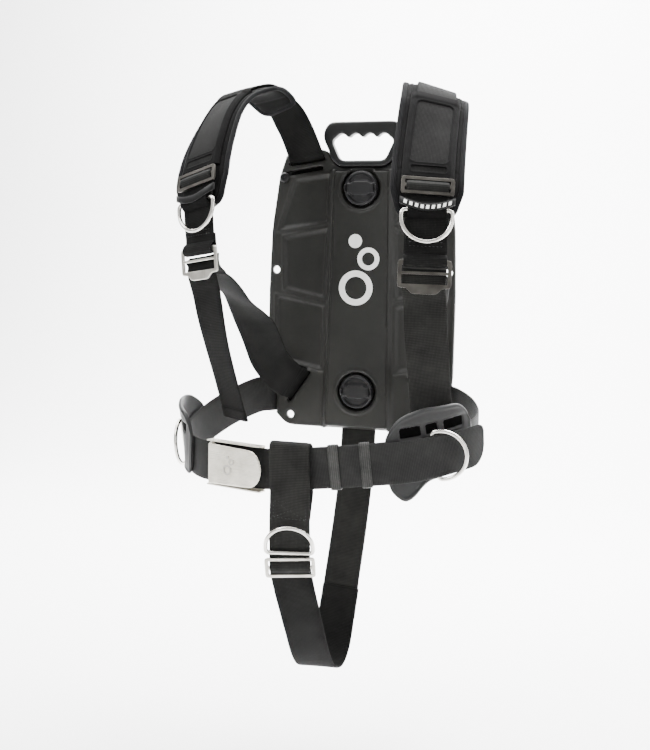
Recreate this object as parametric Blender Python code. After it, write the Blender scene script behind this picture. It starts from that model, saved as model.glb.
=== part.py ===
"""Diving harness: moulded backplate, carry handle, thumb-screw knobs, padded shoulder
straps with steel adjusters and D-rings, waist belt with a cam buckle, and a crotch strap.

The frame stands as worn: +Z up, the wearer's chest towards -Y, the cylinder towards +Y.
The origin is on the flat back of the plate, midway between the two stud bores.
Sizes are in millimetres and are turned to metres when a mesh is made.
"""
import math

import bmesh
import bpy
from mathutils import Matrix, Vector

MM = 0.001
GAP = 0.4

# Webbing and pads
WEB_WIDTH = 50.0
WEB_THICK = 2.5
PAD_WIDTH = 76.0
PAD_THICK = 8.0
PAD_GAP = 2.2
PAD_DEPTH = WEB_THICK / 2 + PAD_GAP + PAD_THICK / 2

# Backplate
PLATE_HALF_WIDTH = 133.0
PLATE_HALF_HEIGHT = 193.0
PLATE_THICK = 9.0
SHOULDER_HALF_WIDTH = PLATE_HALF_WIDTH - 25.0
SPINE_HALF_WIDTH = 40.0
SPINE_RISE = 7.0
SPINE_FACE = PLATE_THICK + SPINE_RISE
PANEL_DEPTH = 2.0
SLOT_WIDTH = 5.5
SLOT_LENGTH = WEB_WIDTH + 4.0
STRAP_STANDOFF = PLATE_THICK + GAP + WEB_THICK / 2
LANDING = STRAP_STANDOFF + 1.5

# Slot centres, measured on the +X side
SHOULDER_SLOT = (PLATE_HALF_WIDTH - 53.0, PLATE_HALF_HEIGHT - 16.0)
SHOULDER_SLOT_TILT = -9.0
SECOND_SLOT = (3.0, -13.0)
LOWER_SLOT = (PLATE_HALF_WIDTH - 46.0, 56.0 - PLATE_HALF_HEIGHT)
LOWER_SLOT_TILT = -55.0
BELT_SLOT = (PLATE_HALF_WIDTH - 10.5, 44.0 - PLATE_HALF_HEIGHT)

# Thumb screws
STUD_SPACING = 279.4
STUD_RADIUS = 4.0
STUD_PROUD = 30.0
BORE_CLEARANCE = 0.5
WELL_RADIUS = 27.0
WELL_FLOOR = 8.0
KNOB_RADIUS = WELL_RADIUS - 3.5
KNOB_HEIGHT = 10.0
KNOB_BORE_DEPTH = 4.5
WASHER_THICK = 1.2
WASHER_RADIUS = 11.0
GROMMET_RADIUS = 20.0
GROMMET_THICK = 2.5

# Side holes and rivets, (x, z) on the +X side
HOLE_RADIUS = 5.5
HOLES = (
    (PLATE_HALF_WIDTH - 21.0, PLATE_HALF_HEIGHT - 38.0),
    (PLATE_HALF_WIDTH - 10.0, 27.0),
    (PLATE_HALF_WIDTH - 34.0, 15.0 - PLATE_HALF_HEIGHT),
)
RIVET_HEAD = 7.0

# Carry handle
HANDLE_HALF_WIDTH = SHOULDER_SLOT[0] - 23.0
HANDLE_RISE = 36.0
HANDLE_BAR = 17.0
HANDLE_SIDE = 13.0
HANDLE_THICK = 15.0
NOTCH_DEPTH = 24.5
NOTCH_HALF = HANDLE_HALF_WIDTH - 24.0
NOTCH_FLARE = 12.0

# Rings and slides
RING_WIRE = 2.5
RING_HALF = WEB_WIDTH / 2 + RING_WIRE + 1.5
RING_DROP = 8.0
RING_CORNER = 5.0
STEEL = 3.0
SLIDE_BAR = 4.0
SLIDE_WIDTH = WEB_WIDTH + 12.0
FRAME_SIDE = 4.5
ADJUSTER_TOP = 4.5
ADJUSTER_UPPER_WINDOW = (7.5, -5.5)
ADJUSTER_LOWER_WINDOW = (11.0, -18.0)
ADJUSTER_FOOT = -28.0
ADJUSTER_TAB = ((20.0, 0.0), (15.0, -7.0))
CHEST_SLIDE_HEIGHT = 22.0
CROTCH_SLIDE_HEIGHT = 26.0
BAND_HEIGHT = 9.0
BAND_THICK = 3.0

# Waist buckle
BUCKLE_LENGTH = 84.0
BUCKLE_SHEET = 1.5
BUCKLE_FLOOR_GAP = 1.2
BUCKLE_HALF = WEB_WIDTH / 2 + 2.0
FLANGE_HEIGHT = 10.0
PIN_RADIUS = 2.0
PIN_CLEARANCE = 0.4
BARREL_RADIUS = 3.8
LEVER_STANDOFF = 3.2
PIN_LIFT = WEB_THICK / 2 + 0.8 + BARREL_RADIUS

# Hip plates
HIP_THICK = 4.0
HIP_GAP = 1.4
HIP_LIFT = WEB_THICK / 2 + HIP_GAP + HIP_THICK / 2
RING_LIFT = HIP_LIFT + HIP_THICK / 2 + 0.5 + RING_WIRE
TAIL_OVER_RING = RING_LIFT + RING_WIRE + 0.6 + WEB_THICK / 2
TAIL_OVER_BELT = WEB_THICK + GAP * 2
TAIL_OVER_HIP = HIP_LIFT + HIP_THICK / 2 + HIP_GAP + WEB_THICK / 2
KEEPER_WIDTH = 12.0
KEEPER_THICK = 1.2
KEEPER_PLAY = 0.7


def clear_scene():
    for item in list(bpy.data.objects):
        bpy.data.objects.remove(item, do_unlink=True)


def finish(name, colour, roughness, metallic):
    material = bpy.data.materials.new(name)
    material.use_nodes = True
    shader = material.node_tree.nodes["Principled BSDF"]
    shader.inputs["Base Color"].default_value = (*colour, 1.0)
    shader.inputs["Roughness"].default_value = roughness
    shader.inputs["Metallic"].default_value = metallic
    return material


def moulded(name):
    return finish(name, (0.02, 0.02, 0.021), 0.5, 0.0)


def webbing(name):
    return finish(name, (0.012, 0.012, 0.013), 0.85, 0.0)


def rubber(name):
    return finish(name, (0.014, 0.014, 0.014), 0.8, 0.0)


def steel(name):
    return finish(name, (0.62, 0.61, 0.58), 0.28, 1.0)


def add_object(name, mesh, material, matrix=None):
    item = bpy.data.objects.new(name, mesh)
    item.data.materials.clear()
    item.data.materials.append(material)
    bpy.context.scene.collection.objects.link(item)
    if matrix is not None:
        item.matrix_world = matrix
    return item


def add_body(name, points, faces, material, matrix=None):
    mesh = bpy.data.meshes.new(name)
    mesh.from_pydata([Vector(point) * MM for point in points], [], faces)
    shape = bmesh.new()
    shape.from_mesh(mesh)
    bmesh.ops.recalc_face_normals(shape, faces=shape.faces)
    shape.to_mesh(mesh)
    shape.free()
    return add_object(name, mesh, material, matrix)


def prism(name, outline, front, back, material=None, matrix=None):
    """Extrude an (x, z) outline along Y, from depth front to depth back."""
    count = len(outline)
    points = [(x, front, z) for x, z in outline] + [(x, back, z) for x, z in outline]
    faces = [tuple(range(count)), tuple(range(2 * count - 1, count - 1, -1))]
    for index in range(count):
        following = (index + 1) % count
        faces.append((index, index + count, following + count, following))
    return add_body(name, points, faces, material or moulded(name), matrix)


def rectangle(width, height, centre=(0.0, 0.0), tilt=0.0):
    turn = math.radians(tilt)
    corners = []
    for across, up in ((-0.5, -0.5), (0.5, -0.5), (0.5, 0.5), (-0.5, 0.5)):
        x = across * width
        z = up * height
        corners.append((
            centre[0] + x * math.cos(turn) - z * math.sin(turn),
            centre[1] + x * math.sin(turn) + z * math.cos(turn),
        ))
    return corners


def circle(radius, centre=(0.0, 0.0), sides=24):
    step = 2 * math.pi / sides
    return [
        (centre[0] + radius * math.cos(step * k), centre[1] + radius * math.sin(step * k))
        for k in range(sides)
    ]


def rounded(corners, radius, steps=4):
    """Round every corner of a closed outline with a quadratic curve."""
    outline = []
    count = len(corners)
    for index in range(count):
        corner = Vector(corners[index])
        before = Vector(corners[index - 1]) - corner
        after = Vector(corners[(index + 1) % count]) - corner
        reach = min(radius, before.length * 0.45, after.length * 0.45)
        start = corner + before.normalized() * reach
        end = corner + after.normalized() * reach
        for step in range(steps + 1):
            t = step / steps
            point = start * (1 - t) ** 2 + corner * 2 * t * (1 - t) + end * t ** 2
            outline.append((point.x, point.y))
    return outline


def evaluated_mesh(item):
    graph = bpy.context.evaluated_depsgraph_get()
    return bpy.data.meshes.new_from_object(item.evaluated_get(graph))


def carve(target, cutters, operation="DIFFERENCE"):
    """Cut or join the cutters into the target, then remove them."""
    for cutter in cutters:
        step = target.modifiers.new("shape", "BOOLEAN")
        step.operation = operation
        step.object = cutter
    bpy.context.view_layer.update()
    material = target.data.materials[0]
    target_mesh = evaluated_mesh(target)
    target.modifiers.clear()
    target.data = target_mesh
    target.data.materials.clear()
    target.data.materials.append(material)
    for cutter in cutters:
        bpy.data.objects.remove(cutter, do_unlink=True)
    return target


def smooth_round(item, angle=35.0):
    item.data.shade_smooth()
    item.data.set_sharp_from_angle(angle=math.radians(angle))


def turned(name, profile, centre, material, sides=32):
    """A solid turned about a Y axis through centre, from a closed (radius, y) profile."""
    points = []
    faces = []
    rows = len(profile)
    for side in range(sides):
        angle = 2 * math.pi * side / sides
        for radius, depth in profile:
            points.append((radius * math.cos(angle), depth, radius * math.sin(angle)))
    for side in range(sides):
        here = side * rows
        there = ((side + 1) % sides) * rows
        for row in range(rows - 1):
            faces.append((here + row, here + row + 1, there + row + 1, there + row))
        faces.append((here + rows - 1, here, there, there + rows - 1))
    item = add_body(name, points, faces, material, Matrix.Translation(Vector(centre) * MM))
    bpy.context.view_layer.update()
    smooth_round(item)
    return item


class Path:
    """A strap's centre line, with the direction across the strap at each point."""

    def __init__(self, rows):
        self.centres = [Vector(row[0]) for row in rows]
        self.sides = [Vector(row[1]).normalized() for row in rows]

    def spline(self, values, t):
        index = min(max(int(math.floor(t)), 0), len(values) - 2)
        u = t - index
        a = values[max(index - 1, 0)]
        b = values[index]
        c = values[index + 1]
        d = values[min(index + 2, len(values) - 1)]
        return 0.5 * (
            2 * b + (c - a) * u + (2 * a - 5 * b + 4 * c - d) * u ** 2
            + (3 * b - a - 3 * c + d) * u ** 3
        )

    def frame(self, t):
        """Centre, across, along and outward directions at t."""
        centre = self.spline(self.centres, t)
        along = self.spline(self.centres, t + 0.01) - self.spline(self.centres, t - 0.01)
        along.normalize()
        across = self.spline(self.sides, t)
        across = (across - along * across.dot(along)).normalized()
        return centre, across, along, along.cross(across)

    def seat(self, t, lift=0.0, turn=0.0):
        """Placement on the strap: X across, Z back along it, Y into the wearer."""
        centre, across, along, outward = self.frame(t)
        turned_axes = Matrix((across, -outward, -along)).transposed().to_4x4()
        place = Matrix.Translation((centre + outward * lift) * MM)
        return place @ turned_axes @ Matrix.Rotation(math.radians(turn), 4, "Y")


def blend(table, t):
    """Linear value at t from (t, value) pairs, or a plain number."""
    if isinstance(table, (int, float)):
        return float(table)
    pairs = sorted(table)
    if t <= pairs[0][0]:
        return pairs[0][1]
    for (t0, v0), (t1, v1) in zip(pairs, pairs[1:]):
        if t <= t1:
            return v0 + (v1 - v0) * (t - t0) / (t1 - t0)
    return pairs[-1][1]


def even_stops(start, end, per_point):
    """Places from start to end at whole fractions of a point, so that layers line up."""
    low, high = sorted((start, end))
    inside = [k / per_point for k in range(math.ceil(low * per_point), int(high * per_point) + 1)]
    inside = [t for t in inside if low + 0.05 < t < high - 0.05]
    stops = [low, *inside, high]
    return stops if start < end else stops[::-1]


def strap(name, path, start, end, material, lift=0.0, width=WEB_WIDTH, thick=WEB_THICK,
          edges=None, steps_per_point=4):
    """A flat band along the path from start to end.

    edges is a pair of (t, distance) tables for the two sides, in place of width."""
    stops = even_stops(start, end, steps_per_point)
    steps = len(stops) - 1
    points = []
    for t in stops:
        centre, across, along, outward = path.frame(t)
        centre = centre + outward * blend(lift, t)
        if edges:
            low = blend(edges[0], t)
            high = blend(edges[1], t)
        else:
            low = high = blend(width, t) / 2
        for side, out in ((-low, -1), (high, -1), (high, 1), (-low, 1)):
            points.append(centre + across * side + outward * out * thick / 2)
    faces = [(3, 2, 1, 0)]
    last = steps * 4
    faces.append((last, last + 1, last + 2, last + 3))
    for step in range(steps):
        row = step * 4
        for k in range(4):
            m = (k + 1) % 4
            faces.append((row + k, row + m, row + 4 + m, row + 4 + k))
    return add_body(name, points, faces, material)


# Routes. Each row is a centre and the direction across the strap.
SLOT_X, SLOT_Z = SHOULDER_SLOT
BELT_X, BELT_Z = BELT_SLOT
LOWER_X, LOWER_Z = LOWER_SLOT

SHOULDER_LEFT = Path((
    ((-SLOT_X, -LANDING, SLOT_Z + 5), (1, 0, 0.15)),
    ((-SLOT_X - 9, -29, SLOT_Z + 38), (1, -0.03, 0.08)),
    ((-106, -46, SLOT_Z + 71), (1, -0.12, 0)),
    ((-123, -80, SLOT_Z + 89), (0.94, -0.33, 0.05)),
    ((-145, -115, SLOT_Z + 76), (0.88, -0.47, 0.1)),
    ((-156, -146, 224), (0.86, -0.5, 0.12)),
    ((-159, -178, 183), (0.9, -0.42, 0.08)),
    ((-157, -202, 144), (0.93, -0.37, 0.06)),
    ((-152, -214, 110), (0.93, -0.37, 0.05)),
    ((-148, -219, 76), (0.92, -0.38, 0.05)),
    ((-145, -221, 48), (0.92, -0.38, 0.04)),
))
SHOULDER_RIGHT = Path((
    ((SLOT_X, -LANDING, SLOT_Z + 5), (1, 0, -0.15)),
    ((SLOT_X + 9, -29, SLOT_Z + 38), (1, 0.03, -0.08)),
    ((101, -45, SLOT_Z + 69), (1, 0.1, -0.1)),
    ((114, -80, SLOT_Z + 82), (0.92, 0.28, -0.28)),
    ((121, -117, SLOT_Z + 63), (0.92, 0.4, -0.12)),
    ((124, -149, 203), (0.94, 0.34, -0.04)),
    ((127, -177, 168), (0.95, 0.3, 0)),
    ((131, -202, 133), (0.95, 0.3, 0)),
    ((133, -214, 100), (0.95, 0.28, 0)),
    ((134, -219, 66), (0.95, 0.28, 0)),
    ((134, -221, 38), (0.95, 0.28, 0)),
))
LOWER_LEFT = Path((
    ((-144, -208, 26), (0.92, -0.38, 0)),
    ((-135, -188, 14), (0.6, -0.75, 0.3)),
    ((-123, -148, -13), (0.3, -0.88, 0.4)),
    ((-117, -98, -50), (0.4, -0.62, 0.66)),
    ((-LOWER_X - 27, -54, LOWER_Z + 41), (0.54, -0.3, 0.78)),
    ((-LOWER_X - 14, -26, LOWER_Z + 14), (0.57, 0, 0.82)),
    ((-LOWER_X - 5, -LANDING - 1.5, LOWER_Z + 7), (0.57, 0, 0.82)),
))
LOWER_RIGHT = Path((
    ((134, -208, 16), (0.92, 0.38, 0)),
    ((131, -188, 4), (0.6, 0.75, -0.3)),
    ((122, -148, -23), (0.3, 0.88, -0.4)),
    ((116, -98, -55), (0.4, 0.62, -0.66)),
    ((LOWER_X + 27, -54, LOWER_Z + 41), (0.54, 0.3, -0.78)),
    ((LOWER_X + 14, -26, LOWER_Z + 14), (0.57, 0, -0.82)),
    ((LOWER_X + 5, -LANDING - 1.5, LOWER_Z + 7), (0.57, 0, -0.82)),
))
TAIL_LEFT = Path((
    ((-143.5, -217.5, 26), (0.92, -0.38, 0)),
    ((-134, -217, -25), (0.9, -0.42, 0)),
    ((-126, -213, -65), (0.86, -0.5, 0)),
    ((-118, -205, -105), (0.84, -0.54, 0)),
    ((-112, -194, -142), (0.84, -0.54, 0)),
    ((-109, -188, -160), (0.84, -0.54, 0)),
))
TAIL_RIGHT = Path((
    ((134, -217.5, 16), (0.95, 0.28, 0)),
    ((136, -215, -35), (0.95, 0.28, 0)),
    ((138, -206, -75), (0.95, 0.28, 0)),
    ((138, -188, -115), (0.95, 0.28, 0)),
    ((137, -168, -150), (0.95, 0.28, 0)),
    ((136, -158, -172), (0.95, 0.28, 0)),
))
BELT_LEFT = Path((
    ((-BELT_X - 5, -LANDING, BELT_Z), (0, 0, 1)),
    ((-BELT_X - 20, -24, BELT_Z - 2), (0, 0, 1)),
    ((-168, -60, -165), (0, 0, 1)),
    ((-187, -103, -184), (-0.05, 0, 1)),
    ((-191, -142, -198), (-0.08, 0, 1)),
    ((-178, -178, -207), (-0.08, 0, 1)),
    ((-150, -203, -212), (-0.03, 0, 1)),
    ((-118, -214, -213), (0, 0, 1)),
    ((-85, -225, -213), (0, 0, 1)),
    ((-50, -236, -213), (0, 0, 1)),
))
BELT_RIGHT = Path((
    ((BELT_X + 5, -LANDING, BELT_Z), (0, 0, -1)),
    ((BELT_X + 20, -24, BELT_Z - 2), (0, 0, -1)),
    ((168, -62, -158), (0, 0, -1)),
    ((184, -108, -166), (0, 0, -1)),
    ((185, -150, -172), (0, 0, -1)),
    ((170, -184, -178), (0, 0, -1)),
    ((143, -208, -186), (0, 0, -1)),
    ((103, -226, -194), (0, 0, -1)),
    ((57, -237, -200), (0, 0, -1)),
    ((0, -239, -207), (0, 0, -1)),
    ((-42, -232, -212), (0, 0, -1)),
))
CROTCH_FRONT = Path((
    ((-17, -250, -177), (1, 0, 0)),
    ((-16, -250, -206), (1, 0, 0)),
    ((-15, -249, -236), (1, 0.02, 0)),
    ((-17, -243, -270), (0.99, 0.1, 0)),
    ((-19, -235, -303), (0.98, 0.2, 0)),
    ((-19, -230, -334), (0.98, 0.2, 0)),
    ((-17, -222, -360), (0.98, 0.2, 0)),
    ((-14, -208, -392), (0.98, 0.2, 0)),
    ((-12, -188, -430), (0.98, 0.2, 0)),
    ((-12, -163, -466), (0.98, 0.2, 0)),
    ((-11, -138, -489), (0.99, 0.15, 0)),
    ((-8, -112, -491), (0.99, 0.1, 0)),
    ((-4, -95, -470), (1, 0.05, 0)),
    ((-2, -84, -438), (1, 0, 0)),
    ((0, -76, -410), (1, 0, 0)),
))
STUD_Z = STUD_SPACING / 2
CROTCH_REAR = Path((
    ((0, GAP + WEB_THICK / 2 + 0.6, -STUD_Z - 22), (1, 0, 0)),
    ((0, 3.0, -PLATE_HALF_HEIGHT - 2), (1, 0, 0)),
    ((1, -6, -PLATE_HALF_HEIGHT - 35), (1, 0, 0)),
    ((3, -24, -PLATE_HALF_HEIGHT - 79), (1, 0, 0)),
    ((2, -44, -328), (1, 0, 0)),
    ((1, -64, -375), (1, 0, 0)),
    ((0, -75, -405), (1, 0, 0)),
))

# Distances along each route, counted in points
PAD_START = 2.0
PAD_END = 8.15
CHEST_SLIDE_AT = 7.22
BAND_AT = 7.79
RING_AT = 8.05
ADJUSTER_AT = 10.0
WEBBING_END = ADJUSTER_AT - 0.3
LEFT_BUCKLE_AT = 7.72
LEFT_RING_AT = 4.05
RIGHT_RING_AT = 5.9
TAIL_LIFT = (
    (10.4, TAIL_OVER_BELT),
    (8.9, TAIL_OVER_BELT),
    (7.5, TAIL_OVER_BELT + 0.4),
    (7.1, TAIL_OVER_HIP),
    (6.5, TAIL_OVER_RING),
    (5.3, TAIL_OVER_RING + 0.6),
    (4.3, TAIL_OVER_RING + 6.0),
)
BELT_RIGHT_END = 9.75
TAIL_FROM = 9.9
TAIL_TO = 4.3
KEEPERS_AT = (("inner", 8.35), ("outer", 7.66))
SLIDE_AT = 4.9
CROTCH_RING_AT = 4.28
CROTCH_RING_TILT = 14.0
BELT_RING_SWING = 32.0
SLIDE_GAP = 0.02


def plate_outline():
    """The plate's edge: flared sides, round lower corners and a notch for the handle."""
    half = (
        (NOTCH_HALF + NOTCH_FLARE + 4.0, PLATE_HALF_HEIGHT - 3.0),
        (NOTCH_HALF + NOTCH_FLARE + 15.0, PLATE_HALF_HEIGHT + 1.0),
        (SHOULDER_HALF_WIDTH, PLATE_HALF_HEIGHT - 2.0),
        (SHOULDER_HALF_WIDTH + 12.0, PLATE_HALF_HEIGHT - 36.0),
        (PLATE_HALF_WIDTH - 3.0, PLATE_HALF_HEIGHT - 108.0),
        (PLATE_HALF_WIDTH, 0.0),
        (PLATE_HALF_WIDTH, 75.0 - PLATE_HALF_HEIGHT),
        (PLATE_HALF_WIDTH - 4.0, 26.0 - PLATE_HALF_HEIGHT),
        (PLATE_HALF_WIDTH - 28.0, -PLATE_HALF_HEIGHT),
    )
    floor = PLATE_HALF_HEIGHT - NOTCH_DEPTH
    notch = ((NOTCH_HALF, floor), (NOTCH_HALF + NOTCH_FLARE, floor + NOTCH_FLARE))
    right = list(notch) + list(half)
    left = [(-x, z) for x, z in reversed(right)]
    return rounded(right + left, 12.0, 3)


def panel_outlines(side):
    """The three sunk panels of one wing, as chevrons that follow the plate's edge."""
    inner = SPINE_HALF_WIDTH + 6.0
    upper = (
        (inner, 158.0), (SHOULDER_HALF_WIDTH - 12.0, 152.0),
        (PLATE_HALF_WIDTH - 15.0, 84.0), (inner + 2.0, 94.0),
    )
    middle = (
        (inner + 2.0, 84.0), (PLATE_HALF_WIDTH - 22.0, 72.0),
        (PLATE_HALF_WIDTH - 24.0, 2.0), (inner + 6.0, -10.0),
    )
    lower = (
        (inner + 6.0, -22.0), (PLATE_HALF_WIDTH - 12.0, -10.0),
        (PLATE_HALF_WIDTH - 14.0, -98.0), (inner + 8.0, -110.0),
    )
    panels = []
    for corners in (upper, middle, lower):
        scaled = [(side * x, z * PLATE_HALF_HEIGHT / 193.0) for x, z in corners]
        panels.append(rounded(scaled, 6.0, 2))
    return panels


def make_backplate():
    plate = prism("backplate", plate_outline(), -PLATE_THICK, 0.0)
    top = PLATE_HALF_HEIGHT - 30.0
    bottom = 3.0 - PLATE_HALF_HEIGHT
    half = SPINE_HALF_WIDTH
    spine = prism("spine", [
        (-half + 2, top), (-half - 4, bottom), (half + 4, bottom), (half - 2, top),
    ], -SPINE_FACE, -PLATE_THICK / 2)
    carve(plate, [spine], "UNION")
    cutters = []
    for side in (-1, 1):
        for dx, dz in ((0.0, 0.0), SECOND_SLOT):
            cutters.append(prism("shoulder_slot", rectangle(
                SLOT_LENGTH, SLOT_WIDTH, (side * (SLOT_X + dx), SLOT_Z + dz),
                side * SHOULDER_SLOT_TILT), -30.0, 10.0))
        cutters.append(prism("lower_slot", rectangle(
            SLOT_LENGTH, SLOT_WIDTH, (side * LOWER_X, LOWER_Z), side * LOWER_SLOT_TILT),
            -30.0, 10.0))
        cutters.append(prism("belt_slot", rectangle(
            SLOT_WIDTH, SLOT_LENGTH, (side * BELT_X, BELT_Z)), -30.0, 10.0))
        for x, z in HOLES:
            cutters.append(prism("hole", circle(HOLE_RADIUS, (side * x, z), 16), -30.0, 10.0))
        for outline in panel_outlines(side):
            cutters.append(prism("panel", outline, -30.0, PANEL_DEPTH - PLATE_THICK))
    for z in (-STUD_Z, STUD_Z):
        cutters.append(prism("well", circle(WELL_RADIUS, (0, z), 32), -30.0, -WELL_FLOOR))
        bore = STUD_RADIUS + BORE_CLEARANCE
        cutters.append(prism("bore", circle(bore, (0, z), 20), -30.0, 10.0))
    return carve(plate, cutters)


def make_handle():
    """A grip with four finger scallops over a V-shaped foot in the plate's notch."""
    foot = PLATE_HALF_HEIGHT - NOTCH_DEPTH + GAP
    neck = NOTCH_HALF + NOTCH_FLARE - GAP
    top = PLATE_HALF_HEIGHT + HANDLE_RISE
    half = HANDLE_HALF_WIDTH
    right = [(NOTCH_HALF - GAP, foot), (neck, foot + NOTCH_FLARE), (neck + 2.0, foot + 20.0),
             (half, top - 18.0), (half - 8.0, top)]
    outer = rounded(right + [(-x, z) for x, z in reversed(right)], 9.0, 4)
    middle = -PLATE_THICK / 2 - 1.5
    grip = prism("carry_handle", outer, middle - HANDLE_THICK / 2, -0.5)
    roof = top - HANDLE_BAR - 3.0
    sill = foot + 8.0
    right = [(NOTCH_HALF - 1.0, sill), (half - HANDLE_SIDE, roof - 6.0),
             (half - HANDLE_SIDE - 4.0, roof)]
    opening = rounded(right + [(-x, z) for x, z in reversed(right)], 7.0, 4)
    carve(grip, [prism("grip_gap", opening, -60.0, 20.0)])
    pitch = (half - HANDLE_SIDE) * 0.45
    for finger in range(4):
        x = (finger - 1.5) * pitch
        scallop = prism("scallop", circle(pitch * 0.46, (x, roof - 4.0), 16), -60.0, 20.0)
        carve(grip, [scallop])
    return grip


def make_handle_screw(name, x):
    shaft = 2.5
    head = 4.5
    z = PLATE_HALF_HEIGHT + 4.0
    profile = ((0.4, GAP), (shaft, GAP), (shaft, GAP + 1.0), (head, GAP + 1.0),
               (head - 1.5, GAP + 3.5), (0.4, GAP + 3.5))
    return turned(name, profile, (x, 0, z), steel(name), 20)


def make_thumb_screw(name, z):
    """A round knob with a raised grip bar, its threaded stud and its washer."""
    base = -WELL_FLOOR - GAP
    washer_front = base - WASHER_THICK
    bore = STUD_RADIUS + BORE_CLEARANCE
    turned(name + "_washer", (
        (bore, base), (WASHER_RADIUS, base), (WASHER_RADIUS, washer_front),
        (bore, washer_front),
    ), (0, 0, z), finish(name + "_washer", (0.05, 0.05, 0.05), 0.4, 0.0), 24)
    back = washer_front - GAP
    front = back - KNOB_HEIGHT
    knob = turned(name + "_knob", (
        (bore, back), (KNOB_RADIUS, back), (KNOB_RADIUS, front + 4.0),
        (KNOB_RADIUS - 1.5, front + 2.5), (KNOB_RADIUS - 4.0, front + 3.0),
        (0.4, front + 3.5), (0.4, back - KNOB_BORE_DEPTH), (bore, back - KNOB_BORE_DEPTH),
    ), (0, 0, z), moulded(name + "_knob"), 32)
    bar = rounded([
        (-KNOB_RADIUS + 1, -5.0), (0, -2.6), (KNOB_RADIUS - 1, -5.0),
        (KNOB_RADIUS - 1, 5.0), (0, 2.6), (-KNOB_RADIUS + 1, 5.0),
    ], 2.0, 2)
    grip = prism("grip_bar", bar, front - 0.5, front + 4.4,
                 matrix=Matrix.Translation((0, 0, z * MM)))
    carve(knob, [grip], "UNION")
    tip = back - KNOB_BORE_DEPTH + 0.5
    turned(name + "_stud", (
        (0.4, tip), (STUD_RADIUS, tip), (STUD_RADIUS, STUD_PROUD - 1.5),
        (STUD_RADIUS - 1.5, STUD_PROUD), (0.4, STUD_PROUD),
    ), (0, 0, z), steel(name + "_stud"), 24)


def make_rivet(name, side, hole):
    x, z = hole
    shaft = HOLE_RADIUS - 0.6
    face = -PLATE_THICK
    profile = ((0.4, -0.6), (shaft, -0.6), (shaft, face - GAP), (RIVET_HEAD, face - GAP),
               (RIVET_HEAD, face - 1.6), (RIVET_HEAD - 2.0, face - 3.2), (0.4, face - 3.4))
    return turned(name, profile, (side * x, 0, z), moulded(name), 20)


def d_ring(name, matrix):
    """A bent-wire D: the straight side lies on local X, the bow hangs towards -Z."""
    corner = RING_CORNER
    half = RING_HALF
    route = []
    for step in range(5):
        angle = math.pi / 2 * (1 - step / 4)
        route.append((half - corner + corner * math.cos(angle),
                      -corner + corner * math.sin(angle)))
    arc = 20
    for step in range(arc + 1):
        angle = -math.pi * step / arc
        route.append((half * math.cos(angle), -RING_DROP + half * math.sin(angle)))
    for step in range(5):
        angle = math.pi / 2 * (2 - step / 4)
        route.append((corner - half + corner * math.cos(angle),
                      -corner + corner * math.sin(angle)))
    curve = bpy.data.curves.new(name, "CURVE")
    curve.dimensions = "3D"
    curve.bevel_depth = RING_WIRE * MM
    curve.bevel_resolution = 2
    wire = curve.splines.new("POLY")
    wire.points.add(len(route) - 1)
    for point, (x, z) in zip(wire.points, route):
        point.co = (x * MM, 0.0, z * MM, 1.0)
    wire.use_cyclic_u = True
    holder = bpy.data.objects.new(name, curve)
    mesh = evaluated_mesh(holder)
    bpy.data.objects.remove(holder, do_unlink=True)
    mesh.shade_smooth()
    return add_object(name, mesh, steel(name), matrix)


def framed(name, outline, openings, thick, matrix, material):
    frame = prism(name, outline, -thick / 2, thick / 2, material, matrix)
    return carve(frame, [prism("window", hole, -20.0, 20.0, matrix=matrix) for hole in openings])


def make_slide(name, matrix, height):
    """A two-bar steel slide, seen as a rectangular frame with a middle bar."""
    window = (height - 3 * SLIDE_BAR) / 2
    reach = (window + SLIDE_BAR) / 2
    inner = SLIDE_WIDTH - 2 * FRAME_SIDE
    return framed(name, rounded(rectangle(SLIDE_WIDTH, height), 4.0, 3), (
        rectangle(inner, window, (0, reach)), rectangle(inner, window, (0, -reach)),
    ), STEEL, matrix, steel(name))


def make_adjuster(name, matrix):
    """A quick-adjust buckle: top bar on local X, two windows and a lifting tab below."""
    half = SLIDE_WIDTH / 2
    right = [(half, ADJUSTER_TOP), (half, ADJUSTER_FOOT)]
    right += [(x, ADJUSTER_FOOT + drop) for x, drop in ADJUSTER_TAB]
    outline = rounded(right + [(-x, z) for x, z in reversed(right)], 4.0, 2)
    inner = SLIDE_WIDTH - 2 * FRAME_SIDE
    return framed(name, outline, [
        rectangle(inner, height, (0, middle))
        for height, middle in (ADJUSTER_UPPER_WINDOW, ADJUSTER_LOWER_WINDOW)
    ], STEEL, matrix, steel(name))


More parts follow.
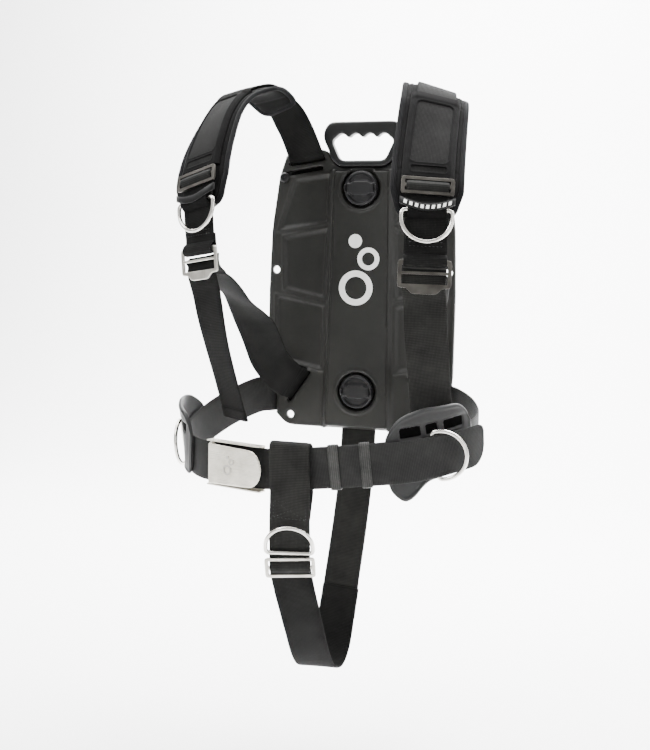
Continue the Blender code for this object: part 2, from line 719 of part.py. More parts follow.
def make_shoulder(side, path, lower, tail):
    """One shoulder: pad, webbing, keeper slide, rubber band, ring, adjuster and straps."""
    strap("shoulder_pad_" + side, path, PAD_START, PAD_END, webbing("pad_" + side),
          lift=-PAD_DEPTH, thick=PAD_THICK, width=(
              (PAD_START, WEB_WIDTH + 4), (PAD_START + 1.25, PAD_WIDTH), (CHEST_SLIDE_AT, PAD_WIDTH),
              (PAD_END, WEB_WIDTH + 8)))
    strap("shoulder_webbing_" + side, path, 0.0, WEBBING_END, webbing("webbing_" + side))
    surface = WEB_THICK / 2 + GAP
    make_slide("chest_slide_" + side, path.seat(CHEST_SLIDE_AT, surface + STEEL / 2),
               CHEST_SLIDE_HEIGHT)
    prism("chest_band_" + side, rounded(rectangle(SLIDE_WIDTH, BAND_HEIGHT), 4.0, 3),
          -BAND_THICK / 2, BAND_THICK / 2, rubber("rubber_" + side),
          path.seat(BAND_AT, surface + BAND_THICK / 2))
    d_ring("chest_ring_" + side, path.seat(RING_AT, surface + RING_WIRE))
    make_adjuster("adjuster_" + side, path.seat(ADJUSTER_AT, surface + STEEL / 2))
    strap("lower_strap_" + side, lower, 0.0, 6.0, webbing("lower_" + side))
    strap("strap_tail_" + side, tail, 0.0, 5.0, webbing("tail_" + side))


def make_buckle(path):
    """The cam buckle: a flanged frame under the belt, its pin, and the lever over it."""
    seat = path.seat(LEFT_BUCKLE_AT, 0.0, 90.0)
    half_length = BUCKLE_LENGTH / 2
    floor = WEB_THICK / 2 + BUCKLE_FLOOR_GAP
    channel = [(-half_length, -BUCKLE_HALF), (half_length, -BUCKLE_HALF),
               (half_length, BUCKLE_HALF), (-half_length, BUCKLE_HALF)]
    outer = [(x, math.copysign(abs(z) + BUCKLE_SHEET, z)) for x, z in channel]
    frame = prism("buckle_frame", outer, floor - FLANGE_HEIGHT, floor + BUCKLE_SHEET,
                  steel("buckle_frame"), seat)
    pin_x = 7.0 - half_length
    pin_turn = Matrix.Translation((pin_x * MM, -PIN_LIFT * MM, 0)) @ Matrix.Rotation(
        math.radians(90), 4, "X")
    bore = prism("pin_bore", circle(PIN_RADIUS + PIN_CLEARANCE, sides=16), -60.0, 60.0,
                 matrix=seat @ pin_turn)
    hollow = prism("channel", [(x * 1.1, z) for x, z in channel], -40.0, floor, matrix=seat)
    carve(frame, [hollow, bore])
    reach = BUCKLE_HALF + BUCKLE_SHEET
    pin = prism("buckle_pin", circle(PIN_RADIUS, sides=16), -reach, reach,
                steel("buckle_pin"), seat @ pin_turn)
    smooth_round(pin)
    make_lever(seat @ pin_turn)


def make_lever(pin_seat):
    """The lever turns on the pin; its barrel is the cam that grips the belt."""
    width = WEB_WIDTH / 2
    long = BUCKLE_LENGTH - 1.0
    lever = prism("buckle_lever", circle(BARREL_RADIUS, sides=24), -width, width,
                  steel("buckle_lever"), pin_seat)
    under = LEVER_STANDOFF + BARREL_RADIUS - BUCKLE_SHEET
    cover_turn = pin_seat @ Matrix.Rotation(math.radians(-90), 4, "X")
    round_end = width * 0.8
    tip = [(long - round_end + round_end * math.cos(a), width * 0.92 * math.sin(a))
           for a in [math.pi * (0.5 - k / 12) for k in range(13)]]
    outline = [(0.0, width), *tip, (0.0, -width)]
    cover = prism("cover", outline, -under - BUCKLE_SHEET, -under, matrix=cover_turn)
    root_outline = rectangle(BARREL_RADIUS, width * 2, (BARREL_RADIUS / 2, 0))
    root = prism("root", root_outline, -under - BUCKLE_SHEET / 2, -BARREL_RADIUS / 2,
                 matrix=cover_turn)
    carve(lever, [root, cover], "UNION")
    bore = prism("bore", circle(PIN_RADIUS + PIN_CLEARANCE, sides=16), -60.0, 60.0,
                 matrix=pin_seat)
    return carve(lever, [bore])


def make_keeper(name, path, t):
    """An elastic loop around the belt and its folded-back tail."""
    lift = blend(TAIL_LIFT, t)
    inner = -WEB_THICK / 2 - KEEPER_PLAY
    outer = lift + WEB_THICK / 2 + KEEPER_PLAY
    seat = path.seat(t, 0.0, -90.0) @ Matrix.Rotation(math.radians(90), 4, "Z")
    half = WEB_WIDTH / 2 + KEEPER_PLAY
    hollow = [(-outer, -half), (-inner, -half), (-inner, half), (-outer, half)]
    wall = KEEPER_THICK
    shell = [(-outer - wall, -half - wall), (-inner + wall, -half - wall),
             (-inner + wall, half + wall), (-outer - wall, half + wall)]
    return framed(name, shell, (hollow,), KEEPER_WIDTH, seat, rubber(name))


def hip_edges(centre, sign):
    """Edge tables of a hip plate about its ring's place; sign turns them end for end."""
    rise = ((-1.35, 27), (-0.9, 54), (0.3, 58), (1.1, 48), (1.45, 27))
    fall = ((-1.35, 26), (-0.5, 27), (0.5, 29), (1.0, 50), (1.25, 48), (1.45, 27))
    up = [(centre + sign * t, d) for t, d in rise]
    down = [(centre + sign * t, d) for t, d in fall]
    return up, down


def make_hip_plate(name, path, centre, sign):
    up, down = hip_edges(centre, sign)
    edges = (up, down) if sign > 0 else (down, up)
    ends = sorted((up[0][0], up[-1][0]))
    return strap(name, path, ends[0], ends[1],
                 finish(name, (0.07, 0.07, 0.07), 0.55, 0.0),
                 lift=HIP_LIFT, thick=HIP_THICK, edges=edges, steps_per_point=4)


def make_belt():
    strap("belt_left", BELT_LEFT, 0.0, LEFT_BUCKLE_AT, webbing("belt_left"))
    strap("belt_right", BELT_RIGHT, 0.0, BELT_RIGHT_END, webbing("belt_right"))
    strap("belt_tail", BELT_RIGHT, TAIL_FROM, TAIL_TO, webbing("belt_tail"), lift=TAIL_LIFT)
    make_buckle(BELT_LEFT)
    for label, t in KEEPERS_AT:
        make_keeper("belt_keeper_" + label, BELT_RIGHT, t)
    make_hip_plate("hip_plate_right", BELT_RIGHT, RIGHT_RING_AT - 0.2, 1)
    make_hip_plate("hip_plate_left", BELT_LEFT, LEFT_RING_AT + 0.2, -1)
    swing = Matrix.Rotation(math.radians(-BELT_RING_SWING), 4, "X")
    d_ring("belt_ring_right", BELT_RIGHT.seat(RIGHT_RING_AT, RING_LIFT)
           @ Matrix.Rotation(math.radians(180), 4, "Y") @ swing)
    d_ring("belt_ring_left", BELT_LEFT.seat(LEFT_RING_AT, RING_LIFT))


def make_crotch_strap():
    seam = SLIDE_AT + 0.3
    strap("crotch_strap_front", CROTCH_FRONT, 0.0, seam, webbing("crotch_front"))
    strap("crotch_strap_lower", CROTCH_FRONT, seam + SLIDE_GAP, 13.9, webbing("crotch_lower"))
    strap("crotch_strap_rear", CROTCH_REAR, 0.0, 6.0, webbing("crotch_rear"))
    surface = WEB_THICK / 2 + GAP
    make_slide("crotch_slide", CROTCH_FRONT.seat(SLIDE_AT, surface + STEEL / 2),
               CROTCH_SLIDE_HEIGHT)
    stand_off = Matrix.Rotation(math.radians(-CROTCH_RING_TILT), 4, "X")
    d_ring("crotch_ring", CROTCH_FRONT.seat(CROTCH_RING_AT, surface + RING_WIRE, 180.0)
           @ stand_off)
    stud_clear = STUD_RADIUS + BORE_CLEARANCE
    rear = GAP + GROMMET_THICK
    turned("crotch_grommet", (
        (stud_clear, GAP), (GROMMET_RADIUS, GAP), (GROMMET_RADIUS, rear), (stud_clear, rear),
    ), (0, 0, -STUD_Z), moulded("crotch_grommet"), 28)


def build():
    clear_scene()
    make_backplate()
    make_handle()
    screw_x = NOTCH_HALF + NOTCH_FLARE + 2.5
    make_handle_screw("handle_screw_left", -screw_x)
    make_handle_screw("handle_screw_right", screw_x)
    make_thumb_screw("upper", STUD_Z)
    make_thumb_screw("lower", -STUD_Z)
    make_rivet("rivet_upper_left", -1, HOLES[0])
    make_rivet("rivet_upper_right", 1, HOLES[0])
    make_shoulder("left", SHOULDER_LEFT, LOWER_LEFT, TAIL_LEFT)
    make_shoulder("right", SHOULDER_RIGHT, LOWER_RIGHT, TAIL_RIGHT)
    make_belt()
    make_crotch_strap()


build()
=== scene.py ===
"""Looks of a diving harness: moulded plate, woven webbing, padded straps and satin steel."""
from math import copysign, cos, exp, floor, hypot, pi, radians, sin, sqrt

import bmesh
import bpy
from mathutils import Matrix, Vector, noise


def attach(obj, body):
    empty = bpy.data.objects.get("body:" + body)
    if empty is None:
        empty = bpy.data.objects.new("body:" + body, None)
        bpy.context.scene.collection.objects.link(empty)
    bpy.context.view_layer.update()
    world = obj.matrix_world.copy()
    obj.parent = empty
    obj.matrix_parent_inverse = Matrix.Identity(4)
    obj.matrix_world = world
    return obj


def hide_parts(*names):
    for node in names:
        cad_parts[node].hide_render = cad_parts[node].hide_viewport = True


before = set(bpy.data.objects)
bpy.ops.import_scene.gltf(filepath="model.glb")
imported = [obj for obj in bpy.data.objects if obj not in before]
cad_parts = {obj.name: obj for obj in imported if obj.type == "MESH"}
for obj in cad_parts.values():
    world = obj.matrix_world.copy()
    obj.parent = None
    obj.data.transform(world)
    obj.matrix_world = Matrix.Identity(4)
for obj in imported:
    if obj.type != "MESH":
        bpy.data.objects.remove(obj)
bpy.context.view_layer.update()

MM = 0.001

# Sizes shared with the frame, in millimetres
WEB_WIDTH = 50.0
WEB_THICK = 2.4
PAD_WIDTH = 76.0
PAD_THICK = 8.0
PAD_DROP = 7.4
PLATE_FACE = 9.0
SPINE_FACE = 16.0
WELL_RADIUS = 27.0
KEEPER_WIDTH = 12.0
RING_WIRE = 2.5
RING_HALF = 29.0
RING_DROP = 8.0
STUD_Z = 139.7
HIP_THICK = 4.0
HIP_LIFT = 4.65
RING_REST = 1.65
LEVER_FACE = 12.85
TAIL_OVER_BELT = 3.3
TAIL_OVER_HIP = 9.3
TAIL_OVER_RING = 14.0
BACK_CHANNEL_X = 46.0
BACK_CHANNEL_Z = 82.0
KNOB_DISC = 17.2
KNOB_TOP_FROM = 16.4
KNOB_BAR_RISE = 3.0
KNOB_SCOOP = 2.4
LOOP_HALF = 32.0
LOOP_SAG = 10.0
LOOP_SEAT = 4.6
LOOP_BULGE = 6.2
LOOP_LIFT = 1.9

# -------- colours and node trees

def srgb(code):
    """A linear colour from an sRGB hex value."""
    parts = [int(code[k:k + 2], 16) / 255 for k in (1, 3, 5)]
    linear = [p / 12.92 if p <= 0.04045 else ((p + 0.055) / 1.055) ** 2.4 for p in parts]
    return (*linear, 1.0)


def add(tree, kind, values=None, links=None, **settings):
    """Add one node with its settings, input values and incoming links."""
    node = tree.nodes.new(kind)
    for key, value in settings.items():
        setattr(node, key, value)
    for key, value in (values or {}).items():
        node.inputs[key].default_value = value
    for key, source in (links or {}).items():
        tree.links.new(source, node.inputs[key])
    return node


def start_material(name):
    material = bpy.data.materials.new(name)
    material.use_nodes = True
    material.node_tree.nodes.clear()
    return material, material.node_tree


def end_material(tree, values, colour, rough=None, height=None, strength=0.3, depth_mm=0.3):
    """Principled shader and output. rough is (factor, start, end, roughness at the start,
    roughness at the end), and height is turned to a bump."""
    links = {"Base Color": colour}
    if rough:
        names = ("From Min", "From Max", "To Min", "To Max")
        spread = add(tree, "ShaderNodeMapRange", dict(zip(names, rough[1:])), {"Value": rough[0]})
        links["Roughness"] = spread.outputs["Result"]
    if height is not None:
        relief = add(tree, "ShaderNodeBump", {"Strength": strength, "Distance": depth_mm * MM},
                     {"Height": height})
        links["Normal"] = relief.outputs["Normal"]
    shader = add(tree, "ShaderNodeBsdfPrincipled", values, links)
    add(tree, "ShaderNodeOutputMaterial", links={"Surface": shader.outputs["BSDF"]})


def ramp_between(tree, factor, low, high, start=0.3, end=0.7):
    node = add(tree, "ShaderNodeValToRGB", links={"Fac": factor})
    node.color_ramp.elements[0].position = start
    node.color_ramp.elements[0].color = low
    node.color_ramp.elements[1].position = end
    node.color_ramp.elements[1].color = high
    return node.outputs["Color"]


def woven(name, dark, light, rib_mm, warp_mm, roughness, sheen, relief_mm, gloss=0.22):
    """Woven nylon: ribs across the tape and warp threads along it, in the tape's own
    coordinates. The eye sees a dull black with a faint silky line on each rib."""
    material, tree = start_material(name)
    place = add(tree, "ShaderNodeUVMap", uv_map="tape")
    in_mm = add(tree, "ShaderNodeMapping", {"Scale": (1000, 1000, 1000)},
                {"Vector": place.outputs["UV"]})
    # A Wave texture repeats every 2 pi / 20 of its scaled coordinate.
    per_mm = 2 * pi / 20
    ribs = add(tree, "ShaderNodeTexWave",
               {"Scale": per_mm / rib_mm, "Distortion": 0.8, "Detail": 1.0, "Detail Scale": 1.5},
               {"Vector": in_mm.outputs["Vector"]}, bands_direction="Y")
    warp = add(tree, "ShaderNodeTexWave",
               {"Scale": per_mm / warp_mm, "Distortion": 0.5, "Detail": 1.0},
               {"Vector": in_mm.outputs["Vector"]}, bands_direction="X")
    weave = add(tree, "ShaderNodeMath",
                links={0: ribs.outputs["Fac"], 1: warp.outputs["Fac"]}, operation="MULTIPLY")
    cloud = add(tree, "ShaderNodeTexNoise", {"Scale": 28.0, "Detail": 4.0, "Roughness": 0.6},
                {"Vector": add(tree, "ShaderNodeTexCoord").outputs["Object"]})
    mixed = add(tree, "ShaderNodeMath", {1: 0.55},
                {0: weave.outputs["Value"], 2: cloud.outputs["Fac"]}, operation="MULTIPLY_ADD")
    colour = ramp_between(tree, mixed.outputs["Value"], srgb(dark), srgb(light), 0.35, 1.0)
    height = weave.outputs["Value"]
    end_material(tree, {"Sheen Weight": sheen, "Sheen Roughness": 0.4,
                        "Specular IOR Level": gloss}, colour,
                 (height, 0.0, 1.0, roughness + 0.12, roughness - 0.1), height, 0.55, relief_mm)
    return material


def moulded(name, dark, light, roughness):
    """Glass-filled nylon, moulded with a fine spark-eroded grain: matt, with a soft wide
    highlight and slightly paler, scuffed patches."""
    material, tree = start_material(name)
    where = add(tree, "ShaderNodeTexCoord").outputs["Object"]
    # The real grain is about 0.3 mm; it is drawn at 1.6 mm so that it shows.
    grain = add(tree, "ShaderNodeTexNoise",
                {"Scale": 1000 / 1.6, "Detail": 3.0, "Roughness": 0.65}, {"Vector": where})
    scuff = add(tree, "ShaderNodeTexNoise", {"Scale": 9.0, "Detail": 6.0, "Roughness": 0.62},
                {"Vector": where})
    worn = add(tree, "ShaderNodeMath", {1: 0.35},
               {0: grain.outputs["Fac"], 2: scuff.outputs["Fac"]}, operation="MULTIPLY_ADD")
    colour = ramp_between(tree, worn.outputs["Value"], srgb(dark), srgb(light), 0.45, 0.95)
    end_material(tree, {"IOR": 1.5, "Specular IOR Level": 0.3}, colour,
                 (scuff.outputs["Fac"], 0.3, 0.7, roughness - 0.06, roughness + 0.08),
                 grain.outputs["Fac"], 0.5, 0.06)
    return material


def satin_steel(name, base, shade, roughness, streak=(900.0, 900.0, 14.0)):
    """Marine stainless steel, tumbled and brushed: warm grey, with fine lengthwise streaks
    that smear the highlights and a faint cloudiness."""
    material, tree = start_material(name)
    where = add(tree, "ShaderNodeTexCoord").outputs["Object"]
    along = add(tree, "ShaderNodeMapping", {"Scale": streak}, {"Vector": where})
    brushed = add(tree, "ShaderNodeTexNoise", {"Scale": 1.0, "Detail": 3.0, "Roughness": 0.6},
                  {"Vector": along.outputs["Vector"]})
    cloudy = add(tree, "ShaderNodeTexNoise", {"Scale": 45.0, "Detail": 4.0}, {"Vector": where})
    colour = ramp_between(tree, cloudy.outputs["Fac"], srgb(shade), srgb(base), 0.3, 0.65)
    height = brushed.outputs["Fac"]
    end_material(tree, {"Metallic": 1.0}, colour,
                 (height, 0.0, 1.0, roughness - 0.08, roughness + 0.12), height, 0.12, 0.05)
    return material


def plain_skin(name, dark, light, roughness, patch_mm, relief_mm=0.04, specular=0.3):
    """A smooth moulded or printed skin with faint unevenness, such as rubber or ink."""
    material, tree = start_material(name)
    where = add(tree, "ShaderNodeTexCoord").outputs["Object"]
    uneven = add(tree, "ShaderNodeTexNoise", {"Scale": 1000 / patch_mm, "Detail": 4.0},
                 {"Vector": where})
    colour = ramp_between(tree, uneven.outputs["Fac"], srgb(dark), srgb(light))
    height = uneven.outputs["Fac"]
    end_material(tree, {"Specular IOR Level": specular}, colour,
                 (height, 0.0, 1.0, roughness - 0.08, roughness + 0.08), height, 0.3, relief_mm)
    return material


# Ribs on real webbing are about 1 mm apart; they are drawn wider so that they show.
# Woven nylon webbing: dull black, with a faint line of light on each rib
WEBBING = woven("nylon_webbing", "#0b0b0a", "#21211f", 1.9, 1.6, 0.75, 0.03, 0.3, 0.14)
# The same webbing made darker and duller: painted shade, for straps that are seen in shadow
SHADED_WEBBING = woven("nylon_shaded_webbing", "#060606", "#161615", 1.9, 1.6, 0.78, 0.02, 0.3, 0.09)
# Stiffer belt webbing, pressed smoother and so a little shinier
BELT_WEBBING = woven("nylon_belt_webbing", "#0b0b0b", "#232322", 1.9, 1.5, 0.6, 0.05, 0.3, 0.16)
# Coated pack cloth over foam: nearly black and matt, with a close, shallow weave
PAD_CLOTH = woven("coated_pad_cloth", "#060606", "#121212", 1.4, 1.4, 0.85, 0.02, 0.2, 0.06)
# Grosgrain binding tape: matt, ribbed across
BINDING = woven("binding_tape", "#080809", "#181819", 1.7, 1.4, 0.8, 0.02, 0.3, 0.08)
# Woven elastic: greyer, with deep soft ribs
ELASTIC = woven("woven_elastic", "#181817", "#3a3a38", 1.5, 2.4, 0.55, 0.08, 0.5)
# Bonded nylon thread: dark grey, slightly waxy
THREAD = plain_skin("bonded_thread", "#1c1c1d", "#303031", 0.6, 2.0)
# Glass-filled nylon of the plate: olive black with a wide soft highlight
PLATE_PLASTIC = moulded("moulded_plate_nylon", "#11110f", "#1f1f1c", 0.44)
# The grip's nylon: blacker, handled smoother
HANDLE_PLASTIC = moulded("moulded_grip_nylon", "#050505", "#0e0e0e", 0.34)
# The knobs' nylon: neutral black, satin
KNOB_PLASTIC = moulded("moulded_knob_nylon", "#0f0f10", "#1d1d1e", 0.4)
# Bendable nylon of the hip plates: dark grey, satin
HIP_PLASTIC = moulded("moulded_hip_nylon", "#111111", "#212121", 0.44)
# Moulded nitrile rubber: black, with a dim, broad highlight
RUBBER = plain_skin("nitrile_rubber", "#060606", "#0f0f0f", 0.45, 6.0, specular=0.18)
# Near-black, matt sheet seen through the hip windows: painted shade in the window recesses, and
# the dark of the webbing behind them
WINDOW_SHADE_LINING = plain_skin("painted_window_shade", "#020202", "#060606", 0.9, 6.0, specular=0.05)
# Turned nylon of washers and the grommet: smooth and black
NYLON = plain_skin("turned_nylon", "#0c0c0c", "#181818", 0.45, 4.0)
# Pad-printed ink: flat white with a slight unevenness
PRINT = plain_skin("white_pad_print", "#e9e9e5", "#f5f5f2", 0.5, 9.0, 0.02)
# Tumbled round stainless wire: bright, with soft edges to its reflections
WIRE_STEEL = satin_steel("polished_ring_steel", "#e2dfd9", "#bdbab3", 0.17)
# Tumbled stainless darkened to a grey: painted shade, standing in for the dim reflections of steel
# seen in shadow
SHADED_SLIDE_STEEL = satin_steel("shaded_slide_steel", "#53514d", "#3a3835", 0.36)
# Tumbled stainless sheet: warm light grey
SHEET_STEEL = satin_steel("tumbled_sheet_steel", "#cfccc4", "#a39f98", 0.28)
# Stainless sheet brushed along the lever: pale and warm, with long streaks
BUCKLE_STEEL = satin_steel("brushed_buckle_steel", "#ded9cd", "#bfbaae", 0.26,
                           (14.0, 14.0, 900.0))


# -------- strap routes

class Route:
    """A strap's centre line, with the direction across the strap at each row."""

    def __init__(self, rows):
        self.centres = [Vector(row[0]) for row in rows]
        self.sides = [Vector(row[1]).normalized() for row in rows]
        self.last = len(rows) - 1

    @staticmethod
    def spline(values, t):
        index = min(max(int(floor(t)), 0), len(values) - 2)
        u = t - index
        a = values[max(index - 1, 0)]
        b = values[index]
        c = values[index + 1]
        d = values[min(index + 2, len(values) - 1)]
        return 0.5 * (
            2 * b + (c - a) * u + (2 * a - 5 * b + 4 * c - d) * u ** 2
            + (3 * b - a - 3 * c + d) * u ** 3
        )

    def at(self, t):
        """Centre, across, along and outward directions at t."""
        centre = self.spline(self.centres, t)
        along = self.spline(self.centres, t + 0.01) - self.spline(self.centres, t - 0.01)
        along.normalize()
        across = self.spline(self.sides, t)
        across = (across - along * across.dot(along)).normalized()
        return centre, across, along, along.cross(across)

    def seat(self, t, lift=0.0, turn=0.0):
        """Placement in millimetres: X across, Z back along the strap, Y into the wearer."""
        centre, across, along, outward = self.at(t)
        axes = Matrix((across, -outward, -along)).transposed().to_4x4()
        place = Matrix.Translation(centre + outward * lift)
        return place @ axes @ turned(turn, "Y")

    def rows(self, start, end, lift=0.0):
        """Rows along this route from start to end, two to a step, raised by lift."""
        count = max(1, round(2 * abs(end - start)))
        found = []
        for k in range(count + 1):
            t = start + (end - start) * k / count
            centre, across, _, outward = self.at(t)
            found.append((centre + outward * level(lift, t), across))
        return found

    def local_rows(self, t, profile):
        """Rows from (distance on along the strap, height) pairs about the place t."""
        centre, across, along, outward = self.at(t)
        return [(centre + along * run + outward * rise, across) for run, rise in profile]


def level(table, t):
    """Linear value at t from (t, value) pairs, or a plain number."""
    if isinstance(table, (int, float)):
        return float(table)
    pairs = sorted(table)
    if t <= pairs[0][0]:
        return pairs[0][1]
    for (t0, v0), (t1, v1) in zip(pairs, pairs[1:]):
        if t <= t1:
            return v0 + (v1 - v0) * (t - t0) / (t1 - t0)
    return pairs[-1][1]


def strap(*rows):
    """A route from rows of a centre in millimetres and a direction across the strap."""
    return Route([(row[:3], row[3:]) for row in rows])


SHOULDER_LEFT = strap(
    (-80, -11.9, 182, 1, 0, 0.15), (-89, -29, 215, 1, -0.03, 0.08),
    (-106, -46, 248, 1, -0.12, 0), (-123, -80, 266, 0.94, -0.33, 0.05),
    (-145, -115, 253, 0.88, -0.47, 0.1), (-156, -146, 224, 0.86, -0.5, 0.12),
    (-159, -178, 183, 0.9, -0.42, 0.08), (-157, -202, 144, 0.93, -0.37, 0.06),
    (-152, -214, 110, 0.93, -0.37, 0.05), (-148, -219, 76, 0.92, -0.38, 0.05),
    (-145, -221, 48, 0.92, -0.38, 0.04),
)
SHOULDER_RIGHT = strap(
    (80, -11.9, 182, 1, 0, -0.15), (89, -29, 215, 1, 0.03, -0.08),
    (101, -45, 246, 1, 0.1, -0.1), (114, -80, 259, 0.92, 0.28, -0.28),
    (121, -117, 240, 0.92, 0.4, -0.12), (124, -149, 203, 0.94, 0.34, -0.04),
    (127, -177, 168, 0.95, 0.3, 0), (131, -202, 133, 0.95, 0.3, 0),
    (133, -214, 100, 0.95, 0.28, 0), (134, -219, 66, 0.95, 0.28, 0),
    (134, -221, 38, 0.95, 0.28, 0),
)
LOWER_LEFT = strap(
    (-144, -208, 26, 0.92, -0.38, 0), (-135, -188, 14, 0.6, -0.75, 0.3),
    (-123, -148, -13, 0.3, -0.88, 0.4), (-117, -98, -50, 0.4, -0.62, 0.66),
    (-114, -54, -96, 0.54, -0.3, 0.78), (-101, -26, -123, 0.57, 0, 0.82),
    (-92, -13.4, -130, 0.57, 0, 0.82),
)
LOWER_RIGHT = strap(
    (134, -208, 16, 0.92, 0.38, 0), (131, -188, 4, 0.6, 0.75, -0.3),
    (122, -148, -23, 0.3, 0.88, -0.4), (116, -98, -55, 0.4, 0.62, -0.66),
    (114, -54, -96, 0.54, 0.3, -0.78), (101, -26, -123, 0.57, 0, -0.82),
    (92, -13.4, -130, 0.57, 0, -0.82),
)
TAIL_LEFT = strap(
    (-143.5, -217.5, 26, 0.92, -0.38, 0), (-134, -217, -25, 0.9, -0.42, 0),
    (-126, -213, -65, 0.86, -0.5, 0), (-118, -205, -105, 0.84, -0.54, 0),
    (-112, -194, -142, 0.84, -0.54, 0), (-109, -188, -160, 0.84, -0.54, 0),
)
TAIL_RIGHT = strap(
    (134, -217.5, 16, 0.95, 0.28, 0), (136, -215, -35, 0.95, 0.28, 0),
    (138, -206, -75, 0.95, 0.28, 0), (138, -188, -115, 0.95, 0.28, 0),
    (137, -168, -150, 0.95, 0.28, 0), (136, -158, -172, 0.95, 0.28, 0),
)
BELT_LEFT = strap(
    (-127.5, -12.2, -149, 0, 0, 1), (-142.5, -24, -151, 0, 0, 1),
    (-168, -60, -165, 0, 0, 1), (-187, -103, -184, -0.05, 0, 1),
    (-191, -142, -198, -0.08, 0, 1), (-178, -178, -207, -0.08, 0, 1),
    (-150, -203, -212, -0.03, 0, 1), (-118, -214, -213, 0, 0, 1),
    (-85, -225, -213, 0, 0, 1), (-50, -236, -213, 0, 0, 1),
)
BELT_RIGHT = strap(
    (127.5, -12.2, -149, 0, 0, -1), (142.5, -24, -151, 0, 0, -1),
    (168, -62, -158, 0, 0, -1), (184, -108, -166, 0, 0, -1),
    (185, -150, -172, 0, 0, -1), (170, -184, -178, 0, 0, -1),
    (143, -208, -186, 0, 0, -1), (103, -226, -194, 0, 0, -1),
    (57, -237, -200, 0, 0, -1), (0, -239, -207, 0, 0, -1),
    (-42, -232, -212, 0, 0, -1),
)
CROTCH_FRONT = strap(
    (-17, -250, -177, 1, 0, 0), (-16, -250, -206, 1, 0, 0),
    (-15, -249, -236, 1, 0.02, 0), (-17, -243, -270, 0.99, 0.1, 0),
    (-19, -235, -303, 0.98, 0.2, 0), (-19, -230, -334, 0.98, 0.2, 0),
    (-17, -222, -360, 0.98, 0.2, 0), (-14, -208, -392, 0.98, 0.2, 0),
    (-12, -188, -430, 0.98, 0.2, 0), (-12, -163, -466, 0.98, 0.2, 0),
    (-11, -138, -489, 0.99, 0.15, 0), (-8, -112, -491, 0.99, 0.1, 0),
    (-4, -95, -470, 1, 0.05, 0), (-2, -84, -438, 1, 0, 0),
    (0, -76, -410, 1, 0, 0),
)
CROTCH_REAR = strap(
    (0, 2.25, -161.7, 1, 0, 0), (0, 3.0, -195, 1, 0, 0),
    (1, -6, -228, 1, 0, 0), (3, -24, -272, 1, 0, 0),
    (2, -44, -328, 1, 0, 0), (1, -64, -375, 1, 0, 0),
    (0, -75, -405, 1, 0, 0),
)

# Places along the routes
PAD_START = 2.0
PAD_END = 8.15
QUILTS_AT = (3.2, 4.05, 6.55)
COVER_START = 3.95
COVER_END = 6.86
CHEST_SLIDE_AT = 7.22
BAND_AT = 7.79
RING_AT = 8.05
ADJUSTER_AT = 10.0
BUCKLE_AT = 7.72
KEEPERS_AT = (("inner", 8.35), ("outer", 7.66))
LEFT_RING_AT = 4.05
RIGHT_RING_AT = 5.9
RING_LIFT = 9.65
TAIL_LIFT = (
    (10.4, TAIL_OVER_BELT), (8.9, TAIL_OVER_BELT), (7.5, TAIL_OVER_BELT + 0.4),
    (7.1, TAIL_OVER_HIP), (6.5, TAIL_OVER_RING), (5.3, TAIL_OVER_RING + 0.6),
    (4.3, TAIL_OVER_RING + 6.0),
)
CROTCH_SLIDE_AT = 4.9
CROTCH_RING_AT = 4.28


# -------- mesh makers

def add_object(name, data):
    found = bpy.data.objects.new(name, data)
    bpy.context.scene.collection.objects.link(found)
    return found


def modify(piece, name, kind, **settings):
    modifier = piece.modifiers.new(name, kind)
    for key, value in settings.items():
        setattr(modifier, key, value)


def place_piece(name, mesh, material, nodes=(), body="harness"):
    """A piece that rides a body and stands for some of the CAD pieces."""
    piece = add_object(name, mesh)
    mesh.materials.clear()
    mesh.materials.append(material)
    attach(piece, body)
    if nodes:
        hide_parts(*nodes)
    return piece


def bulge(value, power):
    """A power that keeps the sign, which squares off a sine or cosine."""
    return copysign(abs(value) ** power, value)


def bell(value, width):
    return exp(-(value / width) ** 2)


def fade(value):
    """Falls from 1 to 0 as the value climbs through zero."""
    return 1 / (1 + exp(value))


def around(count):
    """Evenly spaced points of the unit circle."""
    angles = [2 * pi * j / count for j in range(count)]
    return [(cos(angle), sin(angle)) for angle in angles]


def rounded_corners(half_x, half_z, corner, steps):
    """A rounded rectangle as (x, z, outward x, outward z) round its outline."""
    spots = []
    for k, (side_x, side_z) in enumerate(((1, 1), (-1, 1), (-1, -1), (1, -1))):
        for step in range(steps + 1):
            angle = pi / 2 * (k + step / steps)
            ux, uz = cos(angle), sin(angle)
            spots.append(Vector((side_x * (half_x - corner) + corner * ux,
                                 side_z * (half_z - corner) + corner * uz, ux, uz)))
    return spots


def turned(degrees, axis):
    return Matrix.Rotation(radians(degrees), 4, axis)


def tube(rows, ring, closed=True, base=0):
    """Faces over rows of ring points, joined end to end, or capped when not closed."""
    faces = []
    for k in range(rows if closed else rows - 1):
        row, after = base + k * ring, base + (k + 1) % rows * ring
        for j in range(ring):
            m = (j + 1) % ring
            faces.append((row + j, row + m, after + m, after + j))
    if not closed:
        last = base + (rows - 1) * ring
        faces += [tuple(range(base + ring - 1, base - 1, -1)), tuple(range(last, last + ring))]
    return faces


def mesh_from(name, points, faces, tape=None, sharp=50.0):
    """A closed mesh from millimetre points; tape holds (across, along) for each point."""
    mesh = bpy.data.meshes.new(name)
    mesh.from_pydata([tuple(Vector(p) * MM) for p in points], [], faces)
    if tape:
        layer = mesh.uv_layers.new(name="tape")
        for loop in mesh.loops:
            across, along = tape[loop.vertex_index]
            layer.data[loop.index].uv = (across * MM, along * MM)
    shape = bmesh.new()
    shape.from_mesh(mesh)
    bmesh.ops.recalc_face_normals(shape, faces=shape.faces)
    shape.to_mesh(mesh)
    shape.free()
    mesh.shade_smooth()
    if sharp:
        mesh.set_sharp_from_angle(angle=radians(sharp))
    return mesh


